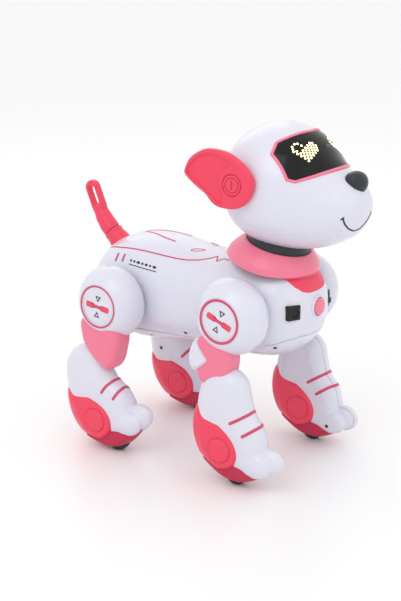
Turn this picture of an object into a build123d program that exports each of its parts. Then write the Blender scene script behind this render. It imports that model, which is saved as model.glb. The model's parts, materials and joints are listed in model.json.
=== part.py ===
from build123d import *
import math
import os

# Robot dog toy: a hollow moulded body on four driven legs with rollers in the soles, a head that
# turns on the neck, two ears and a tail that turn by hand. Millimetres, +X forward, +Y to the
# dog's left, +Z up. Everything is laid out with Z = 0 on the floor and Y = 0 on the centre plane.
# The right-hand pieces are built and the left-hand ones are their mirror images.

# ------------------------------------------------------------------ driving dimensions
WALL = 2.2                  # moulded shell thickness
GAP = 0.3                   # between pieces that move past each other
SHAFT_GAP = 0.05            # radial running clearance of a shaft in its bore
REACH = 300.0               # longer than the toy: size of the solids that only cut

# Body: x, top, underside and half width of each cross-section
BODY_STATIONS = [
    (-105.0, 121.0, 104.0, 10.0),
    (-101.0, 130.0, 95.0, 19.0),
    (-91.0, 143.0, 85.0, 27.5),
    (-77.0, 152.0, 80.0, 33.5),
    (-60.0, 156.5, 77.0, 36.0),
    (-38.0, 156.5, 78.5, 36.0),
    (-15.0, 153.0, 81.0, 34.5),
    (5.0, 151.0, 82.5, 34.0),
    (25.0, 151.5, 82.0, 35.5),
    (45.0, 152.5, 82.0, 37.0),
    (60.0, 152.0, 84.5, 36.0),
    (72.0, 148.5, 90.0, 30.8),
    (79.0, 143.5, 96.5, 24.8),
    (83.7, 136.5, 103.5, 17.5),
    (85.7, 130.0, 109.0, 11.5),
]
BODY_SQUARENESS = 2.4       # exponent of the superellipse that each section is
BELLY_SEAM_Z = 89.0         # the belly cover is what lies below this
BACK_SEAM_Z = 147.0         # the back cover is what lies above this
BACK_SEAM_REAR_X = -84.0
BACK_SEAM_FRONT_X = 27.0
TRIM_THICK = 1.0            # painted seam strip under the back cover

# Hips and legs
HIP_TRACK = 38.3            # from the centre plane to the inner rim of a shoulder dome
HIP_X_FRONT = 46.0
HIP_Z_FRONT = 120.0
HIP_X_REAR = -61.0
HIP_Z_REAR = 112.0
DOME_R = 27.3               # at its widest
DOME_DEPTH = 25.0           # inner rim to the flat outer disc
DOME_WIDEST = 8.0           # from the inner rim out to the widest part
DOME_RIM_R = 21.5
DISC_R = 16.0
RIM_SLOPE = (0.85, 0.53)    # radius and depth along the curved side, at its two ends
DISC_SLOPE = (-0.80, 0.60)
HIP_SHAFT_R = 3.0
HIP_SHAFT_IN = 16.0         # how near to the centre plane the shaft reaches
LEG_INNER_Y = HIP_TRACK + 2.7    # inner face of the lower leg
LEG_WIDTH = 21.5
LEG_SEAM = 8.0              # width of the inner half of the lower leg
LEG_EDGE = 5.0              # rounding of the lower leg's long edges
HEEL_PROUD = 2.0            # heel cover outside the leg, on each side
HEEL_EDGE = 1.6
ANKLE_X_FRONT = 47.0        # heel boss of the front foot
ANKLE_X_REAR = -65.5
FOOT_PITCH_FRONT = 0.0      # degrees, toes up
FOOT_PITCH_REAR = 19.0
ROLLER_R = 9.0
ROLLER_WIDTH = 7.4
ROLLER_SLOT = 8.4
ROLLER_AXLE_R = 1.6
AXLE_INSET = 2.5            # end of the axle inside the leg's face
ROLLER_FROM_BOSS = (7.5, -18.0)
SOLE_INSET = 1.5            # sole inside the leg's two faces
BOSS_R = 8.0
BOSS_PROUD = 1.0

# Neck and collar: the neck axis leans forward
NECK_X = 53.0
NECK_Z = 163.0
NECK_LEAN = 14.0
COLLAR_TOP_R = 23.5
COLLAR_BOTTOM_R = 33.0
COLLAR_HEIGHT = 10.0
COLLAR_SINK = 6.0           # how far the collar goes on below its visible skirt
BOOT_R = 22.8
BOOT_HEIGHT = 4.6
NECK_POST_R = 8.0
NECK_POST_UP = 22.0
NECK_POST_DOWN = 24.0

# Head: x, top, underside and half width of each cross-section
HEAD_STATIONS = [
    (14.6, 215.0, 197.0, 9.0),
    (18.0, 225.5, 186.5, 19.5),
    (27.0, 238.0, 174.0, 32.0),
    (41.0, 246.5, 165.5, 40.4),
    (57.0, 249.6, 162.6, 43.5),
    (72.0, 246.5, 162.8, 41.0),
    (84.0, 239.5, 164.5, 35.5),
    (95.0, 228.0, 167.5, 29.5),
    (106.0, 218.5, 172.5, 24.5),
    (115.0, 212.5, 179.0, 18.5),
    (119.5, 206.0, 186.0, 11.5),
    (121.0, 201.0, 191.0, 6.5),
]
HEAD_SQUARENESS = 2.0
HEAD_SEAM = 9.0             # along the neck axis, from the neck's foot to the head's seam
HEAD_BORE_R = 12.0

# Visor, as y and z of the right-hand half, outside edge first
VISOR_EDGE = [(0, 245.6), (-8, 245.4), (-17.5, 243.9), (-27.4, 239.4), (-34.4, 232.3),
              (-36.4, 216.2), (-32.6, 214.2), (-15, 219.2), (0, 220.4)]
VISOR_BORDER = 3.2
VISOR_DEPTH = 2.6
VISOR_FROM_X = 62.0
BEZEL_PROUD = 0.9
LENS_PROUD = 0.4
LED_R = 0.75
LED_PITCH = 1.9
LED_Y = 19.0
LED_Z = 233.6
LED_STANDOFF = 3.4          # from the head's surface in to the light board's face
LED_BOARD_THICK = 1.6
HEART_ROWS = [".##.##.", "#######", "#######", ".#####.", "..###..", "...#..."]

NOSE_X = 112.8
NOSE_Z = 213.0
NOSE_RADII = (7.8, 9.4, 7.5)

# Ears
EAR_X = 46.0
EAR_Z = 211.3
EAR_Y = 43.6                # inner face of the ear plate
EAR_THICK = 5.8
EAR_EDGE = 2.0
EAR_PIN_R = 2.5
EAR_PIN_IN = 12.0           # pin's length into the head
# Ear outline from the pin, x and z
EAR_OUTLINE = [(-39.3, 6.7), (-33, 16.5), (-17.7, 22.8), (-3.5, 21.5), (10.5, 13.5), (18.2, 2),
               (13.8, -10.2), (3, -16.2), (-13, -15.4), (-21.5, -8.5), (-32.5, -1.8)]

# Tail: points along its centre line, x and z, and the radius there
TAIL_FOOT = (-88.0, 143.0)
TAIL_SOCKET_R = 10.0
TAIL_ROOT = (-97.5, 151.5)
TAIL_ROOT_R = 6.6
TAIL_MID = (-105.5, 161.0)
TAIL_MID_R = 4.6
TAIL_LOOP = (-114.2, 177.5)
TAIL_LOOP_LENGTH = 24.0
TAIL_LOOP_WIDTH = 11.0
TAIL_LOOP_THICK = 7.0
TAIL_SLOT_LENGTH = 15.0
TAIL_SLOT_WIDTH = 4.6
TAIL_PIN_R = 2.5
TAIL_PIN_LENGTH = 9.0

# Chest fittings
BUTTON_Z = 122.8
BUTTON_R = 6.2
BUTTON_PROUD = 3.0
BEZEL_RING_R = 8.0
BEZEL_RING_PROUD = 1.0
BIB_TIP_Z = 134.0
BIB_HALF_WIDTH = 20.0
BIB_CORNER_R = 9.0
BIB_FROM_X = 68.0
JACK_Y = 23.3
JACK_Z = 122.5
JACK_SIDE = 10.5
FITTING_PROUD = 1.6         # face of the jack and of the switch plate out of the chest
JACK_HOLE_R = 3.0
JACK_PIN_R = 1.0
SEAT_GAP = 0.1              # all round the jack and the switch plate, both sides together
JACK_FACE_TILT = 24.0       # degrees from forward to the side that the fittings face
SWITCH_SLOT = (7.0, 3.4)    # height and width of the slot the knob slides in
SWITCH_KNOB = (3.2, 2.8)
SWITCH_TRAVEL = 3.0
SWITCH_KNOB_PROUD = 2.4

# Inside
GEARBOX = (24.0, 11.0, 22.0)
GEARBOX_Y = 22.5
BATTERY = (52.0, 30.0, 17.0)
BATTERY_X = -8.0
BOARD = (66.0, 44.0, 1.6)
BOARD_X = -8.0
BOARD_Z = 128.0
SPEAKER_R = 14.0
SPEAKER_HEIGHT = 7.0
SPEAKER_X = -8.0
DOOR = (58.0, 34.0)
SCREW_R = 1.5
SCREW_HEAD_R = 2.6
SCREW_LENGTH = 8.0
BELLY_SCREWS = [(40.0, 17.0), (-44.0, 20.0)]

# Outlines of the foot from its heel boss, x and z, with the foot level
LEG_OUTLINE = [(-18, 49), (-7, 56), (6, 56.5), (14.5, 49), (17, 37), (19, 27), (28, 19), (34, 7),
               (38.6, -4), (38, -12.5), (31, -17.5), (15, -17.5), (-2, -13), (-18, -9), (-25.5, 2),
               (-26.5, 18), (-24.5, 35)]
HEEL_OUTLINE = [(-22, 31), (-27.8, 21), (-28.3, 5), (-21.5, -10), (-9, -15.5), (3, -15), (11.5, -10.5),
                (15, -3), (13, 5.5), (7, 13), (-5, 21.5), (-14, 28)]
SOLE_OUTLINE = [(-21, -12), (-8, -22), (0, -26), (7.5, -27.2), (15, -26), (27, -20.5), (37, -12.5),
                (30, -8), (5, -6), (-14, -6)]
# Upper limb pieces at rest, x and z
UPPER_ARM_OUTLINE = [(25, 104), (22, 88), (24, 75), (31, 69), (45, 69), (50.5, 80), (52, 94), (45, 108)]
THIGH_OUTLINE = [(-80, 100), (-80.5, 85), (-75, 75), (-66, 67), (-57.5, 63), (-51, 67), (-47, 77),
                 (-45.5, 92), (-58, 104)]
ELBOW_OUTLINE = [(20, 101), (16, 92), (17, 83), (22, 78.5), (28.5, 82), (34, 88.5), (31, 95), (26, 101)]
UPPER_INNER_Y = HIP_TRACK + 4.2  # inner face of the upper limb piece
UPPER_WIDTH_FRONT = 17.5
UPPER_WIDTH_REAR = 19.5
UPPER_EDGE = 3.0
ELBOW_INNER_Y = HIP_TRACK + 2.2
ELBOW_WIDTH = 21.5
ELBOW_EDGE = 1.0

RIGHT = Plane.XZ            # sketches drawn in x and z, extruded towards the dog's right
NODES = {}


# ------------------------------------------------------------------ shared shapes
def superellipse(half_width, half_height, squareness, points=16):
    """Closed outline in y and z, as a smooth curve through evenly turned points."""
    corners = []
    for i in range(points):
        turn = 2 * math.pi * (i + 0.5) / points
        c, s = math.cos(turn), math.sin(turn)
        y = half_width * math.copysign(abs(c) ** (2 / squareness), c)
        z = half_height * math.copysign(abs(s) ** (2 / squareness), s)
        corners.append((y, z))
    return make_face(Spline(*corners, periodic=True))


def hull_through(stations, squareness, grow=0.0):
    """Smooth solid through cross-sections, its skin moved out by grow."""
    faces = []
    last = len(stations) - 1
    for i, (x, top, bottom, half_width) in enumerate(stations):
        end_shift = -grow if i == 0 else (grow if i == last else 0.0)
        middle = (top + bottom) / 2
        face = superellipse(half_width + grow, (top - bottom) / 2 + grow, squareness)
        faces.append(Plane((x + end_shift, 0, middle), (0, 1, 0), (1, 0, 0)) * face)
    return loft(faces)


def side_solid(points, inner_y, width):
    """Smooth closed outline in x and z, from inner_y outwards to the dog's right."""
    outline = make_face(Spline(*points, periodic=True))
    return extrude(RIGHT.offset(inner_y) * outline, width)


def inset(points, distance):
    """Moves each point of a clockwise outline inwards, square to the line between its neighbours."""
    moved = []
    for i, (x, z) in enumerate(points):
        before, after = points[i - 1], points[(i + 1) % len(points)]
        run_x, run_z = after[0] - before[0], after[1] - before[1]
        length = math.hypot(run_x, run_z)
        moved.append((x + distance * run_z / length, z - distance * run_x / length))
    return moved


def rounded(solid, radius):
    """Rounds the two long edges of a side_solid."""
    rims = solid.edges().group_by(Axis.Y)
    return fillet(rims[0] + rims[-1], radius)


def cross_cylinder(x, z, radius, inner_y, width):
    """Cylinder along y, from inner_y outwards to the dog's right."""
    return extrude(RIGHT.offset(inner_y) * Pos(x, z) * Circle(radius), width)


def block(centre, size):
    return Pos(*centre) * Box(*size)


def mirrored(solid):
    return mirror(solid, about=Plane.XZ)


def keep(name, shape):
    solids = shape.solids()
    NODES[name] = solids[0] if len(solids) == 1 else Compound(children=solids)


def both_sides(name, shape):
    keep(name + "_right", shape)
    keep(name + "_left", mirrored(shape))


# ------------------------------------------------------------------ frames
neck_dir = Vector(math.sin(math.radians(NECK_LEAN)), 0, math.cos(math.radians(NECK_LEAN)))
neck = Plane((NECK_X, 0, NECK_Z), (neck_dir.Z, 0, -neck_dir.X), (neck_dir.X, 0, neck_dir.Z))
tail_dir = (Vector(TAIL_ROOT[0], 0, TAIL_ROOT[1]) - Vector(TAIL_FOOT[0], 0, TAIL_FOOT[1])).normalized()
tail = Plane((TAIL_FOOT[0], 0, TAIL_FOOT[1]), (0, 1, 0), (tail_dir.X, 0, tail_dir.Z))


def foot_frame(ankle_x, pitch):
    """Turns and moves a foot drawn about its heel boss so that its roller stands on the floor."""
    turn = math.radians(pitch)
    x, z = ROLLER_FROM_BOSS
    roller_z = x * math.sin(turn) + z * math.cos(turn)
    ankle_z = ROLLER_R - roller_z
    return Pos(ankle_x, 0, ankle_z) * Rot(0, -pitch, 0)


def chest_face(side):
    """Plane on the chest beside the button, facing forward and outwards (side -1 is right)."""
    tilt = math.radians(JACK_FACE_TILT)
    normal = (math.cos(tilt), side * math.sin(tilt), 0)
    across = (-side * math.sin(tilt), math.cos(tilt), 0)
    probe = Axis((0, side * JACK_Y, JACK_Z), (1, 0, 0))
    hits = body_outer.find_intersection_points(probe)
    x = max(point.X for point, _ in hits)
    return Plane((x, side * JACK_Y, JACK_Z), across, normal)


# ------------------------------------------------------------------ body shells
body_outer = hull_through(BODY_STATIONS, BODY_SQUARENESS)
body_inner = hull_through(BODY_STATIONS, BODY_SQUARENESS, -WALL)
body_skin = body_outer - body_inner


def below(z):
    """Everything lower than z."""
    return Pos(0, 0, z - REACH / 2) * Box(2 * REACH, 2 * REACH, REACH)


neck_hole = neck * Cylinder(NECK_POST_R + SHAFT_GAP, 2 * NECK_POST_DOWN)
belly_zone = below(BELLY_SEAM_Z)
back_length = BACK_SEAM_FRONT_X - BACK_SEAM_REAR_X
back_middle = (BACK_SEAM_FRONT_X + BACK_SEAM_REAR_X) / 2
back_zone = Pos(back_middle, 0, BACK_SEAM_Z + REACH / 2) * Box(back_length, REACH, REACH)
trim_zone = Pos(back_middle, 0, BACK_SEAM_Z + TRIM_THICK / 2) * Box(back_length, REACH, TRIM_THICK)

hip_holes = Part()
for hip_x, hip_z in ((HIP_X_FRONT, HIP_Z_FRONT), (HIP_X_REAR, HIP_Z_REAR)):
    hip_holes += Pos(hip_x, 0, hip_z) * Rot(90, 0, 0) * Cylinder(HIP_SHAFT_R + GAP, 2 * HIP_TRACK)

chest_x = max(p.X for p, _ in body_outer.find_intersection_points(Axis((0, 0, BUTTON_Z), (1, 0, 0))))
button_plane = Plane((chest_x, 0, BUTTON_Z), (0, 1, 0), (1, 0, 0))
button_seat = button_plane * Pos(0, 0, -WALL) * Cylinder(BEZEL_RING_R, 4 * WALL)

bib_top = NECK_Z
bib_height = bib_top - BIB_TIP_Z
bib_sketch = Pos(0, BIB_TIP_Z + bib_height / 2) * RectangleRounded(
    2 * BIB_HALF_WIDTH, bib_height, BIB_CORNER_R)
bib_zone = extrude(Plane.YZ.offset(BIB_FROM_X) * bib_sketch, REACH)

jack_face = chest_face(-1)
switch_face = chest_face(1)
fitting_seat = Box(JACK_SIDE + SEAT_GAP, JACK_SIDE + SEAT_GAP, 4 * WALL)
jack_seat = jack_face * fitting_seat
switch_seat = switch_face * fitting_seat

tail_hole = tail * Cylinder(TAIL_PIN_R + 2 * WALL, 2 * TAIL_PIN_LENGTH)
battery_z = BELLY_SEAM_Z + BATTERY[2] / 2
door_zone = block((BATTERY_X, 0, BELLY_SEAM_Z - REACH / 2), (DOOR[0], DOOR[1], REACH))

# ------------------------------------------------------------------ trunk pieces
belly_skin = body_skin & belly_zone
upper_skin = body_skin - belly_zone
back_skin = upper_skin & back_zone
door_skin = belly_skin & door_zone

screws = []
screw_holes = Part()
for screw_x, screw_y in BELLY_SCREWS:
    for side in (-1, 1):
        probe = Axis((screw_x, side * screw_y, 0), (0, 0, 1))
        skin_z = min(p.Z for p, _ in body_outer.find_intersection_points(probe))
        seat_z = skin_z + WALL
        foot = (screw_x, side * screw_y, seat_z)
        shank = Pos(*foot) * Cylinder(SCREW_R, SCREW_LENGTH, align=(Align.CENTER, Align.CENTER, Align.MIN))
        head = Pos(*foot) * Cylinder(SCREW_HEAD_R, WALL / 2, align=(Align.CENTER, Align.CENTER, Align.MAX))
        screws.append(shank + head)
        screw_holes += Pos(screw_x, side * screw_y, skin_z) * Cylinder(SCREW_HEAD_R, 10 * WALL)

keep("body_shell", upper_skin - back_zone - hip_holes - neck_hole - button_seat - bib_zone
     - jack_seat - switch_seat - tail_hole)
keep("belly_cover", belly_skin - door_zone - screw_holes)
keep("back_cover", back_skin - trim_zone)
keep("back_trim", back_skin & trim_zone)
keep("chest_bib", (body_skin & bib_zone) - belly_zone)
keep("battery_door", door_skin)
keep("belly_screws", Compound(children=screws))

collar_skirt = neck * Pos(0, 0, -COLLAR_HEIGHT / 2) * Cone(COLLAR_BOTTOM_R, COLLAR_TOP_R, COLLAR_HEIGHT)
collar_sink = neck * Pos(0, 0, -COLLAR_HEIGHT - COLLAR_SINK / 2) * Cylinder(COLLAR_BOTTOM_R, COLLAR_SINK)
collar_hollow = neck * Pos(0, 0, -COLLAR_HEIGHT / 2 - WALL) * Cone(
    COLLAR_BOTTOM_R - WALL, COLLAR_TOP_R - WALL, COLLAR_HEIGHT)
collar_hollow += neck * Pos(0, 0, -COLLAR_HEIGHT - WALL - COLLAR_SINK) * Cylinder(
    COLLAR_BOTTOM_R - WALL, 2 * COLLAR_SINK)
keep("collar_ring", collar_skirt + collar_sink - collar_hollow - body_outer - neck_hole)

post_length = NECK_POST_UP + NECK_POST_DOWN
post_middle = (NECK_POST_UP - NECK_POST_DOWN) / 2
neck_post = neck * Pos(0, 0, post_middle) * Cylinder(NECK_POST_R, post_length)
keep("neck_post", neck_post)
keep("neck_boot", neck * Pos(0, 0, BOOT_HEIGHT / 2) * Cylinder(BOOT_R, BOOT_HEIGHT) - neck_post)

bezel_depth = 2 * WALL
ring = Cylinder(BEZEL_RING_R, bezel_depth) - Cylinder(BUTTON_R + GAP, bezel_depth)
keep("button_bezel", button_plane * Pos(0, 0, BEZEL_RING_PROUD - bezel_depth / 2) * ring)
button_depth = BUTTON_PROUD + bezel_depth - BEZEL_RING_PROUD
keep("chest_button", button_plane * Pos(0, 0, BUTTON_PROUD - button_depth / 2)
     * Cylinder(BUTTON_R, button_depth))

jack_block = Box(JACK_SIDE, JACK_SIDE, WALL * 2)
jack_bore = Pos(0, 0, WALL / 2) * Cylinder(JACK_HOLE_R, WALL * 3)
jack_pin = Pos(0, 0, -WALL / 4) * Cylinder(JACK_PIN_R, WALL * 1.5)
jack_floor = Pos(0, 0, -WALL * 0.9) * Cylinder(JACK_HOLE_R, WALL * 0.2)
sunk = Pos(0, 0, FITTING_PROUD - WALL)
keep("charging_jack", jack_face * sunk * (jack_block - jack_bore + jack_floor + jack_pin))

plate = Box(JACK_SIDE, JACK_SIDE, WALL * 2)
slot = Box(SWITCH_SLOT[1], SWITCH_SLOT[0], WALL * 3)
keep("switch_plate", switch_face * sunk * (plate - slot))
knob = Box(SWITCH_KNOB[1], SWITCH_KNOB[0], WALL * 2)
keep("switch_knob", switch_face * Pos(0, -SWITCH_TRAVEL / 2, SWITCH_KNOB_PROUD - WALL) * knob)

keep("battery_pack", block((BATTERY_X, 0, battery_z + WALL), BATTERY))
keep("main_board", block((BOARD_X, 0, BOARD_Z), BOARD))
keep("speaker", Pos(SPEAKER_X, 0, BOARD_Z - 2 * SPEAKER_HEIGHT) * Cylinder(SPEAKER_R, SPEAKER_HEIGHT))


def gearboxes(hip_x, hip_z):
    box = block((hip_x, -GEARBOX_Y, hip_z), (GEARBOX[0], GEARBOX[1], GEARBOX[2]))
    box -= cross_cylinder(hip_x, hip_z, HIP_SHAFT_R + SHAFT_GAP, 0, HIP_TRACK)
    return Compound(children=[box.solid(), mirrored(box).solid()])


keep("front_gearboxes", gearboxes(HIP_X_FRONT, HIP_Z_FRONT))
keep("rear_gearboxes", gearboxes(HIP_X_REAR, HIP_Z_REAR))

# ------------------------------------------------------------------ head
head_outer = hull_through(HEAD_STATIONS, HEAD_SQUARENESS)
head_inner = hull_through(HEAD_STATIONS, HEAD_SQUARENESS, -WALL)
bezel_outer = hull_through(HEAD_STATIONS, HEAD_SQUARENESS, BEZEL_PROUD)
lens_outer = hull_through(HEAD_STATIONS, HEAD_SQUARENESS, LENS_PROUD)
head_skin = head_outer - head_inner


def visor_prism(edge_inset):
    """Cutter with the visor's outline, moved in by edge_inset, running forward through the head."""
    other = [(-y, z) for y, z in reversed(VISOR_EDGE[1:-1])]
    face = make_face(Polyline(*VISOR_EDGE, *other, close=True))
    if edge_inset:
        face = offset(face, amount=-edge_inset, kind=Kind.INTERSECTION)
    return extrude(Plane.YZ.offset(VISOR_FROM_X) * face, REACH)


visor_zone = visor_prism(0)
lens_zone = visor_prism(VISOR_BORDER)
neck_plane_cut = neck * below(BOOT_HEIGHT + GAP)
seam_cut = neck * below(HEAD_SEAM)
ear_bores = Pos(EAR_X, 0, EAR_Z) * Rot(90, 0, 0) * Cylinder(EAR_PIN_R + SHAFT_GAP, 4 * EAR_Y)
post_bore = neck * Cylinder(NECK_POST_R + SHAFT_GAP, 4 * NECK_POST_UP)

keep("head_shell", head_skin - seam_cut - visor_zone - ear_bores)
floor_slab = neck * Pos(0, 0, BOOT_HEIGHT + GAP + WALL / 2) * Box(REACH, REACH, WALL)
sleeve_height = NECK_POST_UP - BOOT_HEIGHT - GAP
sleeve = neck * Pos(0, 0, BOOT_HEIGHT + GAP + sleeve_height / 2) * Cylinder(HEAD_BORE_R, sleeve_height)
base_skin = (head_skin & seam_cut) - neck_plane_cut
keep("head_base", base_skin + (head_outer & floor_slab) + sleeve - post_bore)
keep("visor_bezel", (bezel_outer - head_inner) & (visor_zone - lens_zone))
visor_back = hull_through(HEAD_STATIONS, HEAD_SQUARENESS, LENS_PROUD - VISOR_DEPTH)
keep("visor_lens", (lens_outer - visor_back) & lens_zone)

nose_blank = Pos(NOSE_X, 0, NOSE_Z) * scale(Sphere(1), by=NOSE_RADII)
keep("nose", nose_blank - head_outer)


def light_board(side):
    """Flat board behind the lens with a heart-shaped matrix of round lights."""
    probe = Axis((0, side * LED_Y, LED_Z), (1, 0, 0))
    x = max(p.X for p, _ in head_outer.find_intersection_points(probe))
    surface = Vector(x, side * LED_Y, LED_Z)
    widest_x, top, bottom, _ = max(HEAD_STATIONS, key=lambda station: station[3])
    middle = Vector(widest_x, 0, (top + bottom) / 2)
    normal = (surface - middle).normalized()
    across = Vector(0, 0, 1).cross(normal).normalized()
    face = Plane(surface - normal * LED_STANDOFF, across, normal)
    columns, rows = len(HEART_ROWS[0]), len(HEART_ROWS)
    size = ((columns + 1) * LED_PITCH, (rows + 1) * LED_PITCH)
    board = face * Pos(0, 0, -LED_BOARD_THICK / 2) * Box(size[0], size[1], LED_BOARD_THICK)
    lamps = []
    for row, line in enumerate(HEART_ROWS):
        for column, mark in enumerate(line):
            if mark == "#":
                u = (column - (columns - 1) / 2) * LED_PITCH
                v = ((rows - 1) / 2 - row) * LED_PITCH
                lamps.append(face * Pos(u, v, 0) * Cylinder(LED_R, 2 * LED_R))
    return (board + lamps).solid()


keep("eye_light_boards", Compound(children=[light_board(-1), light_board(1)]))

# ------------------------------------------------------------------ ears
ear_points = [(EAR_X + x, EAR_Z + z) for x, z in EAR_OUTLINE]
ear_plate = rounded(side_solid(ear_points, EAR_Y, EAR_THICK), EAR_EDGE)
ear_pin = cross_cylinder(EAR_X, EAR_Z, EAR_PIN_R, EAR_Y - EAR_PIN_IN, EAR_PIN_IN)
both_sides("ear", ear_plate + ear_pin)

# ------------------------------------------------------------------ tail
tail_length = (Vector(*TAIL_ROOT) - Vector(*TAIL_FOOT)).length
socket = tail * Pos(0, 0, tail_length / 2) * Cone(TAIL_SOCKET_R, TAIL_ROOT_R, tail_length)
pin_bore = tail * Pos(0, 0, tail_length - TAIL_PIN_LENGTH / 2) * Cylinder(
    TAIL_PIN_R + SHAFT_GAP, TAIL_PIN_LENGTH)
keep("tail_socket", socket - body_outer - pin_bore)

root_plane = tail * Pos(0, 0, tail_length + GAP)
mid_dir = Vector(TAIL_LOOP[0] - TAIL_ROOT[0], 0, TAIL_LOOP[1] - TAIL_ROOT[1]).normalized()
mid_plane = Plane((TAIL_MID[0], 0, TAIL_MID[1]), (0, 1, 0), (mid_dir.X, 0, mid_dir.Z))
loop_dir = Vector(TAIL_LOOP[0] - TAIL_MID[0], 0, TAIL_LOOP[1] - TAIL_MID[1]).normalized()
loop_angle = math.degrees(math.atan2(loop_dir.Z, loop_dir.X))
low_end = Vector(TAIL_LOOP[0], 0, TAIL_LOOP[1]) - loop_dir * (TAIL_LOOP_LENGTH - TAIL_LOOP_WIDTH) / 2
end_plane = Plane((low_end.X, 0, low_end.Z), (0, 1, 0), (loop_dir.X, 0, loop_dir.Z))
stalk = loft([root_plane * Circle(TAIL_ROOT_R), mid_plane * Circle(TAIL_MID_R),
              end_plane * Circle(TAIL_LOOP_THICK / 2)])
loop_place = RIGHT.offset(-TAIL_LOOP_THICK / 2) * Pos(*TAIL_LOOP) * Rot(0, 0, loop_angle)
loop_ring = extrude(loop_place * SlotOverall(TAIL_LOOP_LENGTH, TAIL_LOOP_WIDTH), TAIL_LOOP_THICK)
loop_hole = extrude(loop_place * SlotOverall(TAIL_SLOT_LENGTH, TAIL_SLOT_WIDTH), TAIL_LOOP_THICK)
tail_pin = tail * Pos(0, 0, tail_length + GAP - TAIL_PIN_LENGTH / 2 + GAP) * Cylinder(
    TAIL_PIN_R, TAIL_PIN_LENGTH)
keep("tail", stalk + loop_ring + tail_pin - loop_hole)


# ------------------------------------------------------------------ legs
def turned(hip_x, hip_z, *edges):
    """Turns a closed profile, drawn as radius and depth outwards, about a hip's axis."""
    profile = make_face(Wire(edges))
    solid = revolve(profile, Axis.Y)
    return Pos(hip_x, -HIP_TRACK, hip_z) * Rot(180, 0, 0) * solid


def dome_side(inset):
    """Curved side of a dome moved in by inset: its two curves, and where they start and end."""
    rim = (DOME_RIM_R - inset, 0)
    widest = (DOME_R - inset, DOME_WIDEST)
    disc = (DISC_R - inset / 2, DOME_DEPTH - inset)
    lower = Spline(rim, widest, tangents=(RIM_SLOPE, (0, 1)))
    upper = Spline(widest, disc, tangents=((0, 1), DISC_SLOPE))
    return (*lower.edges(), *upper.edges()), rim, disc


def dome_full_solid(hip_x, hip_z):
    side, rim, disc = dome_side(0)
    lines = Polyline(disc, (0, DOME_DEPTH), (0, 0), rim)
    return turned(hip_x, hip_z, *side, *lines.edges())


def dome_shell_solid(hip_x, hip_z):
    """Hollow dome with a hub behind its disc and the shaft that its gearbox drives."""
    outer, outer_rim, outer_disc = dome_side(0)
    inner, inner_rim, inner_disc = dome_side(WALL)
    shaft_end = HIP_SHAFT_IN - HIP_TRACK
    hub_r = 2 * HIP_SHAFT_R
    core = Polyline(outer_disc, (0, DOME_DEPTH), (0, shaft_end), (HIP_SHAFT_R, shaft_end),
                    (HIP_SHAFT_R, 0), (hub_r, 0), (hub_r, DOME_DEPTH - WALL), inner_disc)
    rim = Line(inner_rim, outer_rim)
    return turned(hip_x, hip_z, *outer, *core.edges(), *inner, *rim.edges())


def leg(place, hip_x, hip_z, ankle_x, pitch, limb_outline, limb_width):
    """The pieces of one right leg, and their mirror images for the left one."""
    frame = foot_frame(ankle_x, pitch)
    dome_full = dome_full_solid(hip_x, hip_z)
    dome = dome_shell_solid(hip_x, hip_z)

    limb = rounded(side_solid(limb_outline, UPPER_INNER_Y, limb_width), UPPER_EDGE) - dome_full
    leg_full = frame * rounded(side_solid(LEG_OUTLINE, LEG_INNER_Y, LEG_WIDTH), LEG_EDGE)
    cavity = frame * side_solid(inset(LEG_OUTLINE, WALL), LEG_INNER_Y + WALL, LEG_WIDTH - 2 * WALL)
    middle_y = LEG_INNER_Y + LEG_WIDTH / 2
    wheel_x, wheel_z = ROLLER_FROM_BOSS
    pocket = frame * cross_cylinder(wheel_x, wheel_z, ROLLER_R + GAP * 2, middle_y - ROLLER_SLOT / 2,
                                    ROLLER_SLOT)
    shell = leg_full - cavity - pocket - limb
    inner_zone = block((0, REACH / 2 - LEG_INNER_Y - LEG_SEAM, 0), (2 * REACH, REACH, 2 * REACH))

    heel_full = frame * rounded(
        side_solid(HEEL_OUTLINE, LEG_INNER_Y - HEEL_PROUD, LEG_WIDTH + 2 * HEEL_PROUD), HEEL_EDGE)
    boss = frame * cross_cylinder(0, 0, BOSS_R, LEG_INNER_Y - HEEL_PROUD - BOSS_PROUD,
                                  LEG_WIDTH + 2 * (HEEL_PROUD + BOSS_PROUD))
    heel = heel_full + boss - leg_full - pocket

    sole_full = frame * side_solid(SOLE_OUTLINE, LEG_INNER_Y + SOLE_INSET, LEG_WIDTH - 2 * SOLE_INSET)
    axle_bore = frame * cross_cylinder(wheel_x, wheel_z, ROLLER_AXLE_R + SHAFT_GAP,
                                       LEG_INNER_Y, LEG_WIDTH)
    sole = sole_full - leg_full - heel_full - pocket - axle_bore - below(0)
    roller = cross_cylinder(wheel_x, wheel_z, ROLLER_R, middle_y - ROLLER_WIDTH / 2, ROLLER_WIDTH)
    axle_reach = LEG_WIDTH - 2 * AXLE_INSET
    roller += cross_cylinder(wheel_x, wheel_z, ROLLER_AXLE_R, middle_y - axle_reach / 2, axle_reach)

    both_sides(place + "_hip_dome", dome)
    both_sides(place + "_upper_limb", limb)
    both_sides(place + "_leg_outer_shell", shell - inner_zone)
    both_sides(place + "_leg_inner_shell", shell & inner_zone)
    both_sides(place + "_heel_cover", heel)
    both_sides(place + "_sole", sole)
    both_sides(place + "_roller", frame * roller)
    return dome_full, limb, leg_full


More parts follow.
